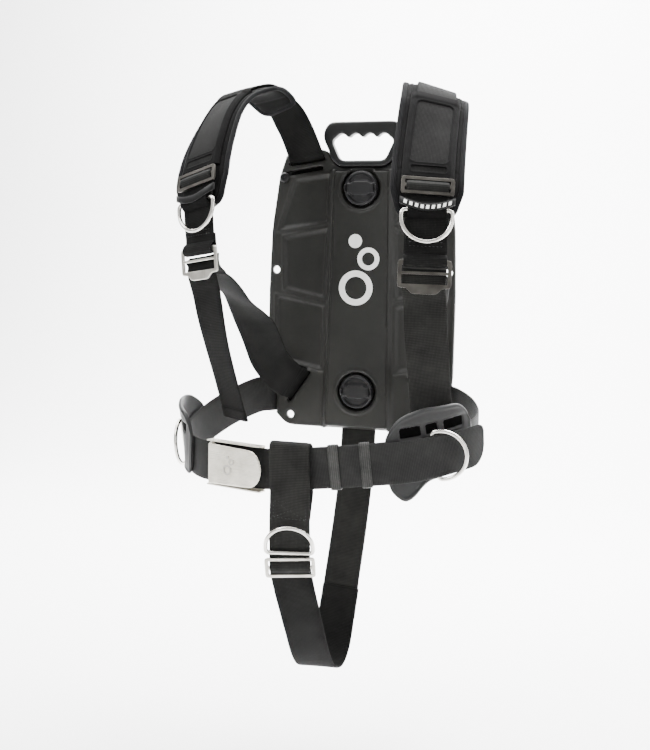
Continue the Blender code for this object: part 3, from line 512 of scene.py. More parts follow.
def loft(name, route, start, end, section, pitch=2.5, sharp=50.0):
    """A closed body along a route. section(t, run) gives a loop of (across, height)."""
    probe = 80
    marks = [route.at(start + (end - start) * k / probe)[0] for k in range(probe + 1)]
    length = sum((ahead - here).length for here, ahead in zip(marks, marks[1:]))
    count = max(3, round(length / pitch))
    points = []
    tape = []
    run = 0.0
    previous = None
    for k in range(count + 1):
        t = start + (end - start) * k / count
        centre, across, _, outward = route.at(t)
        if previous is not None:
            run += (centre - previous).length
        previous = centre
        loop = section(t, run, length)
        for u, h in loop:
            points.append(centre + across * u + outward * h)
            tape.append((u, run))
    return mesh_from(name, points, tube(count + 1, len(loop), False), tape, sharp)


def flat_loop(low, high, top, bottom, count):
    """A loop of (across, height) from -low to high, over the top and back underneath."""
    spots = [-low + (low + high) * (0.5 - 0.5 * cos(pi * k / count))
             for k in range(count + 1)]
    over = [(u, top(u)) for u in spots]
    under = [(u, bottom(u)) for u in reversed(spots[1:-1])]
    return over + under


def tape_section(width=WEB_WIDTH, thick=WEB_THICK, cup=0.0, hem=0.0, ripple=0.25, seed=0.0,
                 corners=(0.1, 0.1)):
    """Webbing: flat, with a rounded woven edge, a slight cup and a doubled hem at the end."""

    def section(t, run, length):
        half = width / 2
        sides = [half, half]
        for k, radius in enumerate(corners):
            if run > length - radius:
                past = min(1.0, (run - length) / radius + 1)
                sides[k] -= radius * (1 - sqrt(1 - past ** 2))
        doubled = thick / 2
        if hem and run > length - hem:
            doubled = thick
        wander = noise.noise(Vector((run * 0.02 + seed, seed * 1.7, 0.3))) * ripple * 2
        twist = noise.noise(Vector((run * 0.015 - seed, 4.1, seed))) * ripple

        def side(sign):
            def height(u):
                edge = max(0.0, abs(u) / half)
                roll = sqrt(max(0.0, 1 - edge ** 14))
                bead = 0.12 * bell(abs(u) - half + 1.6, 1.1)
                middle = cup * edge ** 2 + wander + twist * u / half
                return middle + sign * (doubled + bead) * roll
            return height
        return flat_loop(*sides, side(1), side(-1), 18)
    return section


def webbing_piece(name, rows, nodes=(), material=WEBBING, **shape):
    """Webbing along the whole of a route given by its rows."""
    route = Route(rows)
    mesh = loft(name, route, 0.0, route.last, tape_section(**shape))
    place_piece(name, mesh, material, nodes)


def stitch_row(name, marks):
    """Thread showing on the cloth: a diamond-ended stitch at each (point, along, out)."""
    thick, length = 0.75, 3.2
    points = []
    faces = []
    for centre, along, out in marks:
        base = len(points)
        side = along.cross(out).normalized()
        points += [centre - along * length / 2, centre + along * length / 2]
        points += [centre + direction * thick / 2 for direction in (out, side, -out, -side)]
        for k in range(4):
            m = (k + 1) % 4
            faces.append((base, base + 2 + m, base + 2 + k))
            faces.append((base + 1, base + 2 + k, base + 2 + m))
    place_piece(name, mesh_from(name, points, faces, sharp=None), THREAD)


def stitches_on(route, line, lift):
    """Marks 4.2 mm apart along a polyline of (t, across) places over a route."""
    marks = []
    for (t0, u0), (t1, u1) in zip(line, line[1:]):
        def spot(f):
            centre, across, _, outward = route.at(t0 + (t1 - t0) * f)
            return centre + across * (u0 + (u1 - u0) * f) + outward * lift, outward
        length = sum((spot((k + 1) / 12)[0] - spot(k / 12)[0]).length for k in range(12))
        count = max(1, int(length / 4.2))
        for k in range(count):
            here, outward = spot((k + 0.5) / count)
            ahead, _ = spot(min(1.0, (k + 0.7) / count))
            marks.append((here, (ahead - here).normalized(), outward))
    return marks


def box_stitch(route, t0, t1, half, lift):
    """A sewn box with a cross in it."""
    outline = [(t0, -half), (t0, half), (t1, half), (t1, -half), (t0, -half), (t1, half)]
    return stitches_on(route, outline, lift) + stitches_on(route, [(t0, half), (t1, -half)], lift)


def bevelled(node, material, width_mm, segments, body="harness"):
    """A CAD piece with its corners rounded, standing for that piece."""
    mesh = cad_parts[node].data.copy()
    shape = bmesh.new()
    shape.from_mesh(mesh)
    bmesh.ops.remove_doubles(shape, verts=shape.verts, dist=1e-6)
    bmesh.ops.dissolve_limit(shape, angle_limit=radians(1.0), verts=shape.verts,
                             edges=shape.edges)
    shape.to_mesh(mesh)
    shape.free()
    piece = place_piece(node + "_finished", mesh, material, (node,), body)
    modify(piece, "rounded_corners", "BEVEL", width=width_mm * MM, segments=segments,
           limit_method="ANGLE", angle_limit=radians(28), harden_normals=False)
    mesh.shade_smooth()
    mesh.set_sharp_from_angle(angle=radians(40))


def softened(node, name, material, voxel_mm, rounds, sculpt, body="harness"):
    """A moulded CAD piece with every corner melted to a small radius, then sculpted."""
    piece = add_object(name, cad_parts[node].data.copy())
    modify(piece, "moulding", "REMESH", mode="VOXEL", voxel_size=voxel_mm * MM)
    modify(piece, "corner_radius", "SMOOTH", factor=0.5, iterations=rounds)
    graph = bpy.context.evaluated_depsgraph_get()
    finished = bpy.data.meshes.new_from_object(piece.evaluated_get(graph))
    bpy.data.objects.remove(piece, do_unlink=True)
    moved = [sculpt(v.co / MM, v.normal) for v in finished.vertices]
    for vertex, point in zip(finished.vertices, moved):
        vertex.co = point * MM
    finished.shade_smooth()
    place_piece(name, finished, material, (node,), body)


# -------- plate, handle and knobs

# Corners of the sunk panels on one half of the plate, as (across, up)
PANELS = (
    ((46, 158), (96, 152), (118, 84), (48, 94)),
    ((48, 84), (111, 72), (109, 2), (52, -10)),
    ((52, -22), (121, -10), (119, -98), (54, -110)),
)


def ease(value):
    value = min(max(value, 0.0), 1.0)
    return value * value * (3 - 2 * value)


def beyond_panel(corners, x, z):
    """Distance outside a convex panel listed clockwise; negative inside it."""
    most = -1e9
    for (x0, z0), (x1, z1) in zip(corners, corners[1:] + corners[:1]):
        length = hypot(x1 - x0, z1 - z0)
        most = max(most, ((z1 - z0) * -(x - x0) + (x1 - x0) * (z - z0)) / length)
    return most


def sculpt_plate(point, normal):
    """Sloping spine sides, sunk panels with raised borders, a lip round each well, and
    shallow channels across the flat back."""
    x, y, z = abs(point.x), point.y, point.z
    if y > -0.7 and x < 128.0:
        gap = abs(x - BACK_CHANNEL_X)
        if x > BACK_CHANNEL_X:
            gap = min(gap, abs(abs(z) - BACK_CHANNEL_Z), abs(z))
        return Vector((point.x, y - 0.9 * bell(gap, 2.0), z))
    if y > -5.0:
        return point
    well = min(hypot(x, z - STUD_Z), hypot(x, z + STUD_Z))
    if well < WELL_RADIUS + 0.8:
        return point
    edge = x - (38.0 + (163.0 - z) * 6.0 / 353.0)
    if 0.0 < edge < 9.0 and z < 165.0:
        ramp = PLATE_FACE + (SPINE_FACE - PLATE_FACE) * (1 - ease((edge - 0.5) / 8.0))
        y = min(y, -ramp)
    facing = ease((-normal.y - 0.4) / 0.35)
    rise = 1.3 * bell(well - 30.5, 1.7)
    if edge > 4.0:
        for corners in PANELS:
            gap = beyond_panel(corners, x, z)
            if gap < 9.0:
                rise += 1.4 * bell(gap - 2.4, 1.8)
                rise -= 1.1 * ease((-gap - 0.5) / 3.0)
    return Vector((point.x, y - rise * facing, z))


def sculpt_knob(centre_z):
    """A broad proud bar across the middle with a dished finger scoop on each side."""
    def shape(point, normal):
        z = point.z - centre_z
        radius = hypot(point.x, z)
        if point.y > -KNOB_TOP_FROM or radius > 21.5:
            return point
        half = 9.0 - 2.5 * ease((abs(point.x) - 9.0) / 6.0)
        bar = ease((half + 1.0 - abs(z)) / 2.0) * ease((19.5 - abs(point.x)) / 2.0)
        dish = ease((abs(z) - half - 0.6) / 2.5) * ease((20.5 - radius) / 2.5)
        y = -KNOB_DISC - KNOB_BAR_RISE * bar + KNOB_SCOOP * dish
        return Vector((point.x, y + (point.y - y) * ease((radius - 20.0) / 1.5), point.z))
    return shape


def bubble_marks(label, seat, marks, face, proud, material, body="harness"):
    """Flat rings on local -Y, from (x, z, outer, inner) radii; a dot where inner is zero."""
    top, root = -face - proud, -face + 0.2
    sides = around(40)
    for number, (x, z, outer, inner) in enumerate(marks):
        name = f"{label}_{number + 1}"
        hole = max(inner, 0.05)
        section = ((outer, top), (hole, top), (hole, root), (outer, root))
        points = [seat @ Vector((x + radius * ux, depth, z + radius * uy))
                  for ux, uy in sides for radius, depth in section]
        mesh = mesh_from(name, points, tube(len(sides), 4))
        place_piece(name, mesh, material, (), body)


def anchor_patch(side, out):
    """A thin nylon patch that backs both shoulder slots behind the sewn webbing."""
    slots_x, slots_z = 83.0 * out, 163.0
    outline = rounded_corners(33.0, 25.0, 7.0, 8)
    points = [(x + slots_x, y, z + slots_z) for y in (4.6, 5.8) for x, z, _, _ in outline]
    mesh = mesh_from("anchor_patch", points, tube(2, len(outline), False))
    place_piece("anchor_patch_" + side, mesh, NYLON)


def make_plate():
    softened("backplate", "plate_moulding", PLATE_PLASTIC, 1.6, 4, sculpt_plate)
    softened("carry_handle", "carry_grip", HANDLE_PLASTIC, 1.0, 34,
             lambda point, normal: point + normal * 0.6)
    marks = (-4.0, 4.0, 24.0, 15.5), (13.0, 44.0, 15.5, 9.0), (-6.0, 68.0, 9.5, 0.0)
    bubble_marks("bubble_mark", Matrix.Identity(4), marks, SPINE_FACE, 0.35, PRINT)
    for end, z in (("upper", STUD_Z), ("lower", -STUD_Z)):
        body = end + "_screw"
        softened(end + "_knob", end + "_thumb_knob", KNOB_PLASTIC, 0.6, 6,
                 sculpt_knob(z), body)
        bevelled(end + "_stud", SHEET_STEEL, 0.4, 2, body)
        bevelled(end + "_washer", NYLON, 0.2, 2)
    for node in ("rivet_upper_left", "rivet_upper_right"):
        bevelled(node, HANDLE_PLASTIC, 0.5, 3)
    for node in ("handle_screw_left", "handle_screw_right"):
        bevelled(node, SHEET_STEEL, 0.3, 2)
    bevelled("crotch_grommet", NYLON, 0.6, 3)
    for side, out in (("left", -1), ("right", 1)):
        anchor_patch(side, out)


# -------- shoulder straps

def pad_half_width(t):
    wide = ((PAD_START, 27.0), (PAD_START + 1.25, PAD_WIDTH / 2),
            (CHEST_SLIDE_AT, PAD_WIDTH / 2), (PAD_END, 29.0))
    half = level(wide, t)
    near_end = min(t - PAD_START, PAD_END - t)
    corner = 0.3
    if near_end < corner:
        half -= 9.0 * (1 - sqrt(max(0.0, 1 - (1 - near_end / corner) ** 2)))
    return half


def pad_section(t, run, length):
    """Foam between two cloths: crowned, pinched at its bound edge and quilted across."""
    half = pad_half_width(t)
    quilt = sum(0.9 * bell(t - place, 0.045) for place in QUILTS_AT)
    ends = min(1.0, min(run, length - run) / 6.0)
    body = PAD_THICK / 2 * (0.45 + 0.55 * sqrt(max(0.0, ends)))

    def over(u):
        edge = abs(u) / half
        seam = 1.1 * bell(abs(u) - (half - 8.0), 1.3)
        crown = (1 - edge ** 8) ** 0.5
        lump = 0.35 * noise.noise(Vector((u * 0.05, run * 0.03, 1.0)))
        return -PAD_DROP + max(body * crown * 1.04 - seam - quilt + lump, 0.2) * (1 - edge ** 20)

    def under(u):
        edge = abs(u) / half
        crown = (1 - edge ** 4) ** 0.5
        cell = 0.8 * bell(run % 42.0 - 21.0, 2.0)
        return -PAD_DROP - max(body * crown * 1.06 - cell, 0.2) * (1 - edge ** 20)
    return flat_loop(half, half, over, under, 44)


def edge_binding(name, route):
    """Ribbed tape folded round the pad's whole rim and sewn through."""
    spots = []
    steps = 90
    for side in (1, -1):
        for k in range(steps + 1):
            f = k / steps if side > 0 else 1 - k / steps
            t = PAD_START + (PAD_END - PAD_START) * f
            centre, across, _, outward = route.at(t)
            rim = centre + across * (side * pad_half_width(t)) - outward * PAD_DROP
            spots.append((rim, outward))
    points = []
    tape = []
    ring = 12
    count = len(spots)
    run = 0.0
    for k in range(count):
        here, outward = spots[k]
        step = spots[(k + 1) % count][0] - spots[k - 1][0]
        ahead = step.normalized()
        away = ahead.cross(outward).normalized()
        run += (here - spots[k - 1][0]).length
        for j, (ux, uy) in enumerate(around(ring)):
            wide = 3.6 * bulge(ux, 0.7)
            tall = PAD_THICK * 0.34 * bulge(uy, 0.7)
            points.append(here - away * (wide + 1.6) + outward * tall)
            tape.append((6 * pi * j / ring, run))
    mesh = mesh_from(name, points, tube(count, ring), tape, sharp=60.0)
    place_piece(name, mesh, BINDING)


def rounded_window(u, v, half_u, low_v, high_v, radius):
    """Signed distance to a rounded rectangle; negative inside."""
    dx = abs(u) - (half_u - radius)
    dy = max(low_v + radius - v, v - high_v + radius)
    outside = hypot(max(dx, 0.0), max(dy, 0.0))
    return outside + min(max(dx, dy), 0.0) - radius


def cover_section(t, run, length):
    """The sewn cover over the webbing, with a rounded window that shows the webbing."""
    half = 31.0

    def over(u):
        window = rounded_window(u, run, 21.5, 16.0, length - 22.0, 6.0)
        slot = rounded_window(u, run, 20.0, length - 14.0, length - 7.0, 1.5)
        window = min(window, slot * 1.5)
        raised = fade(-window * 2.2)
        rib = 0.7 * bell(window - 2.2, 1.2)
        edge = sqrt(max(0.0, 1 - (abs(u) / half) ** 16))
        band = fade((run - 11.0) * 1.6)
        drape = -2.8 * max(0.0, (abs(u) - 25.5) / 5.5)
        return (-1.2 + 3.3 * raised + rib + band) * edge + drape - (1 - edge) * 0.4

    def under(u):
        return -1.9 - 2.6 * max(0.0, (abs(u) - 25.5) / 5.5)
    return flat_loop(half, half, over, under, 60)


def loop_line(f):
    """The rubber loop's centre line, from f = -1 to 1: across, outward and down."""
    return LOOP_HALF * f, LOOP_SEAT + LOOP_BULGE * (1 - f ** 4), LOOP_SAG * (1 - f * f) - LOOP_LIFT


def chest_loop(name, route, mark):
    """The rubber loop: a strip that sags across the strap between the slide's sides."""
    seat = route.seat(BAND_AT)
    steps = 40
    ring = 10
    points = []
    for k in range(steps + 1):
        x, out, sag = loop_line(2 * k / steps - 1)
        for ux, uy in around(ring):
            points.append(seat @ Vector((x, 1.3 * bulge(ux, 0.6) - out,
                                         4.3 * bulge(uy, 0.5) - sag)))
    mesh = mesh_from(name, points, tube(steps + 1, ring, False), sharp=60.0)
    place_piece(name, mesh, RUBBER, (mark,))
    return seat


def printed_dashes(name, seat):
    """A plain row of slanted dashes printed on the rubber loop."""
    points = []
    faces = []
    for number in range(9):
        faces += tube(2, 4, False, len(points))
        for lift in (0.3, -0.2):
            for shift, z in ((-0.065, -2.1), (0.045, -2.1), (0.065, 2.1), (-0.045, 2.1)):
                x, out, sag = loop_line((number - 4) * 0.2 + shift)
                points.append(seat @ Vector((x, -out - 1.3 - lift, z - sag)))
    place_piece(name, mesh_from(name, points, faces), PRINT)


def ring_outline():
    """The D-ring's centre line: a straight side on X and a bow towards -Z."""
    corner = 5.0

    def arc(middle, first):
        angles = [pi / 2 * (first - k / 6) for k in range(7)]
        return [(middle + corner * cos(angle), -corner + corner * sin(angle))
                for angle in angles]

    bow = [-pi * k / 48 for k in range(49)]
    return (arc(RING_HALF - corner, 1)
            + [(RING_HALF * cos(angle), -RING_DROP + RING_HALF * sin(angle))
               for angle in bow]
            + arc(corner - RING_HALF, 2))


def d_ring(name, seat, node):
    line = [Vector((x, 0.0, z)) for x, z in ring_outline()]
    up = Vector((0, 1, 0))
    ring = 16
    points = []
    count = len(line)
    for k in range(count):
        ahead = (line[(k + 1) % count] - line[k - 1]).normalized()
        side = ahead.cross(up)
        for ux, uy in around(ring):
            points.append(seat @ (line[k] + (side * ux + up * uy) * RING_WIRE))
    mesh = mesh_from(name, points, tube(count, ring), sharp=None)
    place_piece(name, mesh, WIRE_STEEL, (node,), node)


def make_shoulder(side, route, lower, tail, seed):
    pad = loft("pad_" + side, route, PAD_START, PAD_END, pad_section, 2.2, None)
    foam = place_piece("shoulder_pad_foam_" + side, pad, PAD_CLOTH,
                       ("shoulder_pad_" + side,))
    edge_binding("pad_binding_" + side, route)
    mouth = route.centres[0]
    out = 1 if side == "right" else -1
    into_slot = [(mouth + Vector((shift * out, back, down)), route.sides[0])
                 for shift, back, down in ((3.0, 14.9, -48.0), (2.0, 14.7, -30.0),
                                           (0.5, 14.3, -12.5), (0.0, 7.4, -4.8))]
    over_bar = route.local_rows(ADJUSTER_AT, (
        (-9.0, 3.2), (-5.5, 6.1), (-1.0, 6.6), (2.0, 5.2), (3.6, 1.5), (2.0, -1.6),
        (-3.0, -2.8), (-12.0, -2.8), (-20.0, -2.6)))
    # The shoulder webbing takes the darker copy of the webbing: painted shade
    webbing_piece("shoulder_tape_" + side, into_slot + route.rows(0.0, 9.5) + over_bar,
                  ("shoulder_webbing_" + side,), SHADED_WEBBING, seed=seed)
    cover = loft("cover_" + side, route, COVER_START, COVER_END, cover_section, 1.4, 60.0)
    place_piece("strap_cover_" + side, cover, PAD_CLOTH)
    hump = route.local_rows(CHEST_SLIDE_AT, (
        (-6.3, 2.0), (-4.6, 3.6), (-2.2, 5.9), (0.0, 6.2), (2.2, 5.9), (4.6, 3.6), (6.3, 2.0)))
    webbing_piece("slide_tape_" + side, hump, width=WEB_WIDTH - 0.5, ripple=0.0)
    # The chest slides take the darker steel: painted shade
    bevelled("chest_slide_" + side, SHADED_SLIDE_STEEL, 0.9, 3)
    loop = route.local_rows(RING_AT, (
        (-10.0, 2.4), (-7.5, 4.4), (-5.4, 7.0), (-2.6, 8.5), (0.0, 8.7), (2.8, 8.3),
        (5.4, 6.0), (7.2, 3.2), (9.5, 2.0)))
    webbing_piece("ring_loop_" + side, loop, (), PAD_CLOTH, width=45.0, thick=1.7, ripple=0.0)
    seat = chest_loop("rubber_loop_" + side, route, "chest_band_" + side)
    if side == "right":
        printed_dashes("rubber_loop_dashes", seat)
    ring_seat = route.seat(RING_AT, RING_REST + RING_WIRE)
    d_ring("chest_d_ring_" + side, ring_seat, "chest_ring_" + side)
    # The right adjuster takes the darker steel and the left plain sheet steel: painted shade on
    # the right, where the steel is seen in shadow
    bevelled("adjuster_" + side, SHEET_STEEL if side == "left" else SHADED_SLIDE_STEEL, 0.9, 3,
             "adjuster_" + side)
    # The left straps take the darker webbing and the right ones the plain webbing: painted shade
    # on the left, which is seen in shadow
    strap_cloth = SHADED_WEBBING if side == "left" else WEBBING
    drop = route.local_rows(ADJUSTER_AT, ((8.0, -1.6), (18.0, -0.9), (28.0, -0.2)))
    webbing_piece("tail_tape_" + side, drop + tail.rows(0.6, tail.last), ("strap_tail_" + side,),
                  strap_cloth, hem=14.0, seed=seed + 3, cup=0.5)
    behind = route.local_rows(ADJUSTER_AT, ((6.0, -5.0), (16.0, -4.6)))
    end_centre, end_side = lower.centres[-1], lower.sides[-1]
    through = [(end_centre + Vector((-inward * out, back, -down)), end_side)
               for inward, back, down in ((4.5, 9.0, 5.0), (11.0, 18.2, 11.0),
                                          (26.0, 18.6, 20.0), (42.0, 18.6, 31.0))]
    webbing_piece("lower_tape_" + side, behind + lower.rows(0.35, lower.last) + through,
                  ("lower_strap_" + side,), strap_cloth, seed=seed + 7, ripple=0.4, width=52.5)
    marks = box_stitch(route, 2.2, 2.75, 19.0, WEB_THICK / 2 + 0.1)
    for t in (9.1, 9.25):
        marks += stitches_on(route, [(t, -20), (t, 20)], WEB_THICK / 2 + 0.1)
    for edge in (-28.4, 28.4):
        marks += stitches_on(route, [(3.98 + 0.27 * k, edge) for k in range(11)], -0.1)
    last = tail.last - 0.25
    marks += stitches_on(tail, [(last, -21), (last, 21)], WEB_THICK / 2 + 1.2)
    stitch_row("shoulder_stitching_" + side, marks)


# -------- waist belt

# Each window's middle and half length along the belt, in route steps from the hip's middle
HIP_WINDOWS = ((-0.62, 0.28), (0.12, 0.14), (0.74, 0.24))


def hip_edges(sign):
    """Height of the upper and the lower edge over the belt's middle, along the plate."""
    rise = ((-1.35, 27), (-1.2, 40), (-0.9, 54), (0.3, 58), (0.9, 53), (1.2, 44), (1.45, 27))
    fall = ((-1.35, 26), (-0.5, 27), (0.5, 29), (0.85, 44), (1.0, 50), (1.25, 48), (1.45, 30))
    return ([(sign * t, d) for t, d in rise], [(sign * t, d) for t, d in fall])


def make_hip_plate(side, route, centre, sign):
    """A curved plastic hip plate with a raised rim, a step and three lashing windows."""
    rise, fall = hip_edges(sign)
    low_table, high_table = (rise, fall) if sign > 0 else (fall, rise)
    up_sign = -1 if sign > 0 else 1

    def eased(table, t):
        return sum(level(table, t + 0.06 * k) for k in range(-3, 4)) / 7

    def section(t, run, length):
        low = eased(low_table, t - centre)
        high = eased(high_table, t - centre)
        near_end = min(run, length - run)
        if near_end < 9.0:
            trim = 9.0 * (1 - sqrt(1 - min(1.0, 1 - near_end / 9.0) ** 2))
            low -= trim
            high -= trim
        place = (t - centre) * sign

        def edge(u):
            to_edge = min(u + low, high - u)
            return to_edge, sqrt(max(0.0, 1 - max(0.0, 1 - to_edge / 2.2) ** 2))

        def over(u):
            to_edge, roll = edge(u)
            to_end = min(run, length - run)
            rim = 0.9 * bell(min(to_edge, to_end) - 3.4, 1.5)
            up = u * up_sign
            step = 1.4 * fade(-(up - 40.0) * 1.4)
            dip = 0.0
            for middle, half in HIP_WINDOWS:
                across = max(abs(place - middle) - half, 0.0) * 40
                away = hypot(across, max(abs(up - 32.0) - 4.5, 0.0))
                dip += 3.4 * fade((away - 1.4) * 3.0)
            return HIP_LIFT + (HIP_THICK / 2 * 0.8 + rim + step * 0.8 - dip) * roll

        def under(u):
            return HIP_LIFT - HIP_THICK / 2 * edge(u)[1]
        return flat_loop(low, high, over, under, 70)

    ends = sorted((centre - 1.35 * sign, centre + 1.45 * sign))
    mesh = loft("hip_" + side, route, ends[0], ends[1], section, 1.7, 60.0)
    place_piece("hip_plate_moulding_" + side, mesh, HIP_PLASTIC,
                ("hip_plate_" + side,))

    # A near-black sheet inside the plate, seen through the windows: painted shade in the window
    # recesses, and the dark of the webbing behind them
    def lining(t, run, length):
        low, high = (39.5, -27.0) if up_sign < 0 else (-27.0, 39.5)
        return flat_loop(low, high, lambda u: HIP_LIFT + 0.4, lambda u: HIP_LIFT - 0.3, 6)

    inset = loft("hip_window_shade_" + side, route, centre - 1.05, centre + 1.05, lining, 4.0)
    place_piece("hip_window_painted_shade_" + side, inset, WINDOW_SHADE_LINING)


def elastic_loop(node, route, t):
    """A ribbed elastic loop that holds the tail down on the belt."""
    seat = route.seat(t)
    low, high = -2.55, level(TAIL_LIFT, t) + 2.55
    middle, wide = (low + high) / 2, KEEPER_WIDTH / 2
    line = rounded_corners(26.3, (high - low) / 2, 1.8, 6)
    fine = []
    for here, ahead in zip(line, line[1:] + line[:1]):
        parts = max(1, round((ahead - here).xy.length / 1.2))
        fine += [here.lerp(ahead, k / parts) for k in range(parts)]
    ring = 48
    points = []
    tape = []
    for number, (u, h, out_u, out_h) in enumerate(fine):
        pucker = 0.1 * sin(number * 1.7)
        for ux, uy in around(ring):
            along = wide * bulge(ux, 0.6)
            thick = 0.6 * bulge(uy, 0.3)
            rib = 0.22 * cos(2 * pi * along / 2.0) if thick > 0.4 else 0.0
            lift = thick + rib + pucker
            points.append(seat @ Vector((u + out_u * lift, -(middle + h + out_h * lift), along)))
            tape.append((along, number * 1.2))
    mesh = mesh_from(node + "_loop", points, tube(len(fine), ring), tape, 60.0)
    place_piece(node + "_loop", mesh, ELASTIC, (node,), node)


def make_belt():
    behind = ((78.0, 2.3), (100.0, 2.3), (116.5, 2.2), (122.5, -4.5))
    slot_in = [(Vector((-x, y, -149)), Vector((0, 0, 1))) for x, y in behind]
    run_on = slot_in + BELT_LEFT.rows(0.0, 8.5) + BELT_RIGHT.rows(9.9, 4.3, TAIL_LIFT)
    outer = [(c, s if s.z > 0 else -s) for c, s in run_on]
    webbing_piece("belt_outer_tape", outer, ("belt_left", "belt_tail"), BELT_WEBBING, seed=2.0,
                  ripple=0.2, corners=(24.0, 9.0))
    slot_right = [(Vector((x, y, -149)), Vector((0, 0, -1))) for x, y in behind]
    webbing_piece("belt_inner_tape", slot_right + BELT_RIGHT.rows(0.0, 10.2), ("belt_right",),
                  BELT_WEBBING, seed=5.0, ripple=0.2)
    bevelled("buckle_frame", BUCKLE_STEEL, 0.5, 2)
    bevelled("buckle_pin", SHEET_STEEL, 0.3, 2)
    softened("buckle_lever", "stamped_lever", BUCKLE_STEEL, 0.55, 5,
             lambda point, normal: point + normal * 0.15, "buckle_lever")
    lever_seat = BELT_LEFT.seat(BUCKLE_AT, 0.0, 90.0)
    marks = (-4.0, -5.0, 6.5, 4.2), (2.5, 5.5, 4.0, 2.2), (-3.5, 10.5, 2.2, 0.0)
    bubble_marks("lever_bubble", lever_seat, marks, LEVER_FACE, 0.9, SHEET_STEEL,
                 "buckle_lever")
    for label, t in KEEPERS_AT:
        elastic_loop("belt_keeper_" + label, BELT_RIGHT, t)
    make_hip_plate("right", BELT_RIGHT, RIGHT_RING_AT - 0.2, 1)
    make_hip_plate("left", BELT_LEFT, LEFT_RING_AT + 0.2, -1)
    right_seat = BELT_RIGHT.seat(RIGHT_RING_AT, RING_LIFT) @ turned(180, "Y") @ turned(-32, "X")
    d_ring("belt_d_ring_right", right_seat, "belt_ring_right")
    d_ring("belt_d_ring_left", BELT_LEFT.seat(LEFT_RING_AT, RING_LIFT), "belt_ring_left")


# -------- crotch strap

def make_crotch_strap():
    loop = [
        ((-17, -241.5, -268), (1, 0.08, 0)),
        ((-16, -238.0, -252), (1, 0.04, 0)),
        ((-16, -232.5, -236), (1, 0, 0)),
        ((-17, -231.5, -210), (1, 0, 0)),
        ((-17, -232.5, -186), (1, 0, 0)),
        ((-17, -237.5, -178), (1, 0, 0)),
        ((-17, -244.5, -176.6), (1, 0, 0)),
        ((-17, -249.5, -182), (1, 0, 0)),
    ]
    slide = CROTCH_FRONT.local_rows(CROTCH_SLIDE_AT, ((-16.0, 0.0), (0.0, 0.0)))
    webbing_piece("crotch_front_tape", loop + CROTCH_FRONT.rows(0.75, 4.25) + slide,
                  ("crotch_strap_front",), seed=11.0, ripple=0.3)
    hump = CROTCH_FRONT.local_rows(CROTCH_SLIDE_AT, (
        (-8.4, 1.6), (-5.4, 3.4), (-2.6, 6.0), (0.0, 6.3), (2.6, 6.0), (5.4, 3.4), (8.4, 1.6)))
    webbing_piece("crotch_slide_tape", hump, ripple=0.0, width=49.5)
    tail = CROTCH_FRONT.local_rows(CROTCH_SLIDE_AT, ((1.0, 0.0), (10.0, 0.0)))
    lower = tail + CROTCH_FRONT.rows(5.6, 14.0) + [((0.5, -73.5, -400), (1, 0, 0))]
    # The lower crotch strap takes the darker webbing: painted shade on its front, which faces down
    # away from the key light
    webbing_piece("crotch_lower_tape", lower, ("crotch_strap_lower",), SHADED_WEBBING, hem=16.0,
                  seed=13.0, ripple=0.3, width=51.0)
    rear = [((0, 3.2, -118), (1, 0, 0))] + CROTCH_REAR.rows(0.0, 5.6)
    rear += [((-0.5, -73.4, -412), (1, 0, 0)), ((-1.5, -80.5, -440), (1, 0, 0))]
    webbing_piece("crotch_rear_tape", rear, ("crotch_strap_rear",), seed=17.0, ripple=0.2,
                  width=49.0)
    bevelled("crotch_slide", SHEET_STEEL, 0.9, 3)
    ring_seat = CROTCH_FRONT.seat(CROTCH_RING_AT, RING_REST + RING_WIRE, 180.0) @ turned(-14, "X")
    d_ring("crotch_d_ring", ring_seat, "crotch_ring")
    marks = box_stitch(CROTCH_FRONT, 2.35, 2.95, 20.0, WEB_THICK / 2 + 0.15)
    marks += stitches_on(CROTCH_REAR, [(5.55, -21), (5.55, 21)], -WEB_THICK / 2 - 2.6)
    stitch_row("crotch_stitching", marks)


# -------- studio

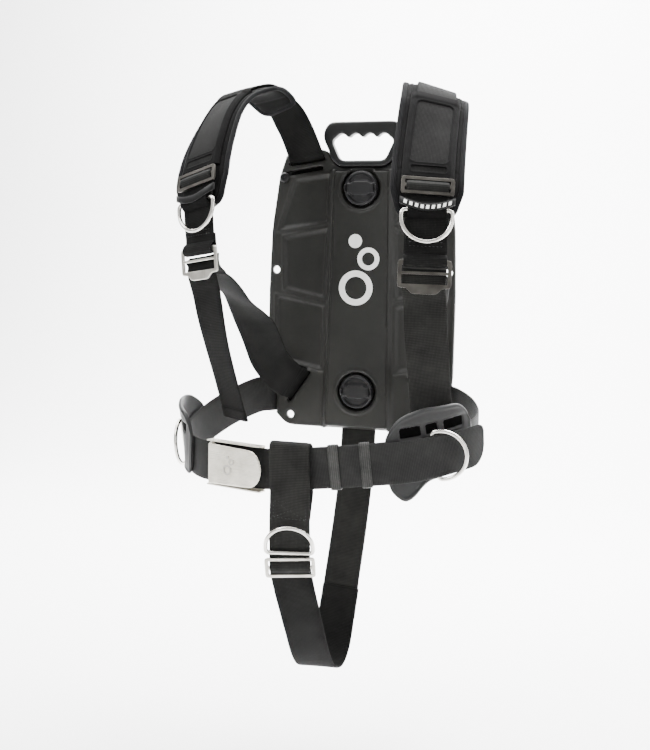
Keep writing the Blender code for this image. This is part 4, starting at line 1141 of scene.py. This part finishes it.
def make_studio():
    """A pale sweep, a soft key high on the left, a fill, a rim light and two sweep washes."""
    material, tree = start_material("matt_white_sweep")
    soft = add(tree, "ShaderNodeTexNoise", {"Scale": 3.0})
    colour = ramp_between(tree, soft.outputs["Fac"], srgb("#f7f7f7"), srgb("#fbfbfb"))
    end_material(tree, {"Roughness": 0.95, "Specular IOR Level": 0.1}, colour)
    floor_z = -0.62
    profile = [(-4.0, floor_z), (1.4, floor_z)]
    for k in range(1, 13):
        angle = pi / 2 * k / 12
        profile.append((1.4 + 1.2 * sin(angle), floor_z + 1.2 - 1.2 * cos(angle)))
    profile.append((2.6, 4.0))
    points = [(x, y, z) for y, z in profile for x in (-6.0, 6.0)]
    faces = [(2 * k, 2 * k + 1, 2 * k + 3, 2 * k + 2) for k in range(len(profile) - 1)]
    mesh = bpy.data.meshes.new("sweep")
    mesh.from_pydata(points, [], faces)
    mesh.materials.append(material)
    mesh.shade_smooth()
    add_object("studio_sweep", mesh)
    world = bpy.data.worlds.new("soft_studio")
    bpy.context.scene.world = world
    world.use_nodes = True
    sky = world.node_tree.nodes["Background"]
    sky.inputs["Color"].default_value = srgb("#ffffff")
    sky.inputs["Strength"].default_value = 1.0
    for name, spot, target, size, power in (
        ("key_softbox", (-1.5, -1.5, 2.0), (0, -0.1, 0), 1.1, 85.0),
        ("fill_softbox", (1.9, -1.4, 0.6), (0, -0.1, 0), 1.3, 22.0),
        ("rim_softbox", (1.1, 1.2, 1.4), (0, -0.1, 0), 0.9, 28.0),
        ("wall_wash", (0.0, 0.7, 1.6), (0.0, 2.6, 0.2), 2.4, 420.0),
        ("floor_wash", (0.0, 0.6, 2.4), (0.0, 0.9, -0.6), 2.4, 220.0),
    ):
        lamp = bpy.data.lights.new(name, "AREA")
        lamp.size = size
        lamp.energy = power
        holder = add_object(name, lamp)
        holder.location = spot
        aim = Vector(target) - Vector(spot)
        holder.rotation_euler = aim.to_track_quat("-Z", "Y").to_euler()


def make_camera():
    """A 50 mm lens on the wearer's side, 17 degrees to the right and 6 above."""
    facing = turned(17.0, "Z") @ turned(90.0 - 6.0, "X") @ turned(1.15, "Z")
    camera = bpy.data.cameras.new("camera")
    camera.lens = 50.0
    camera.sensor_width = 36.0
    holder = add_object("camera", camera)
    holder.matrix_world = (Matrix.Translation((0.0, -0.018, 0.0)) @ facing
                           @ Matrix.Translation((-0.0453, -0.1153, 1.43)))
    bpy.context.scene.camera = holder


make_camera()
make_studio()
make_plate()
make_shoulder("left", SHOULDER_LEFT, LOWER_LEFT, TAIL_LEFT, 1.0)
make_shoulder("right", SHOULDER_RIGHT, LOWER_RIGHT, TAIL_RIGHT, 23.0)
make_belt()
make_crotch_strap()
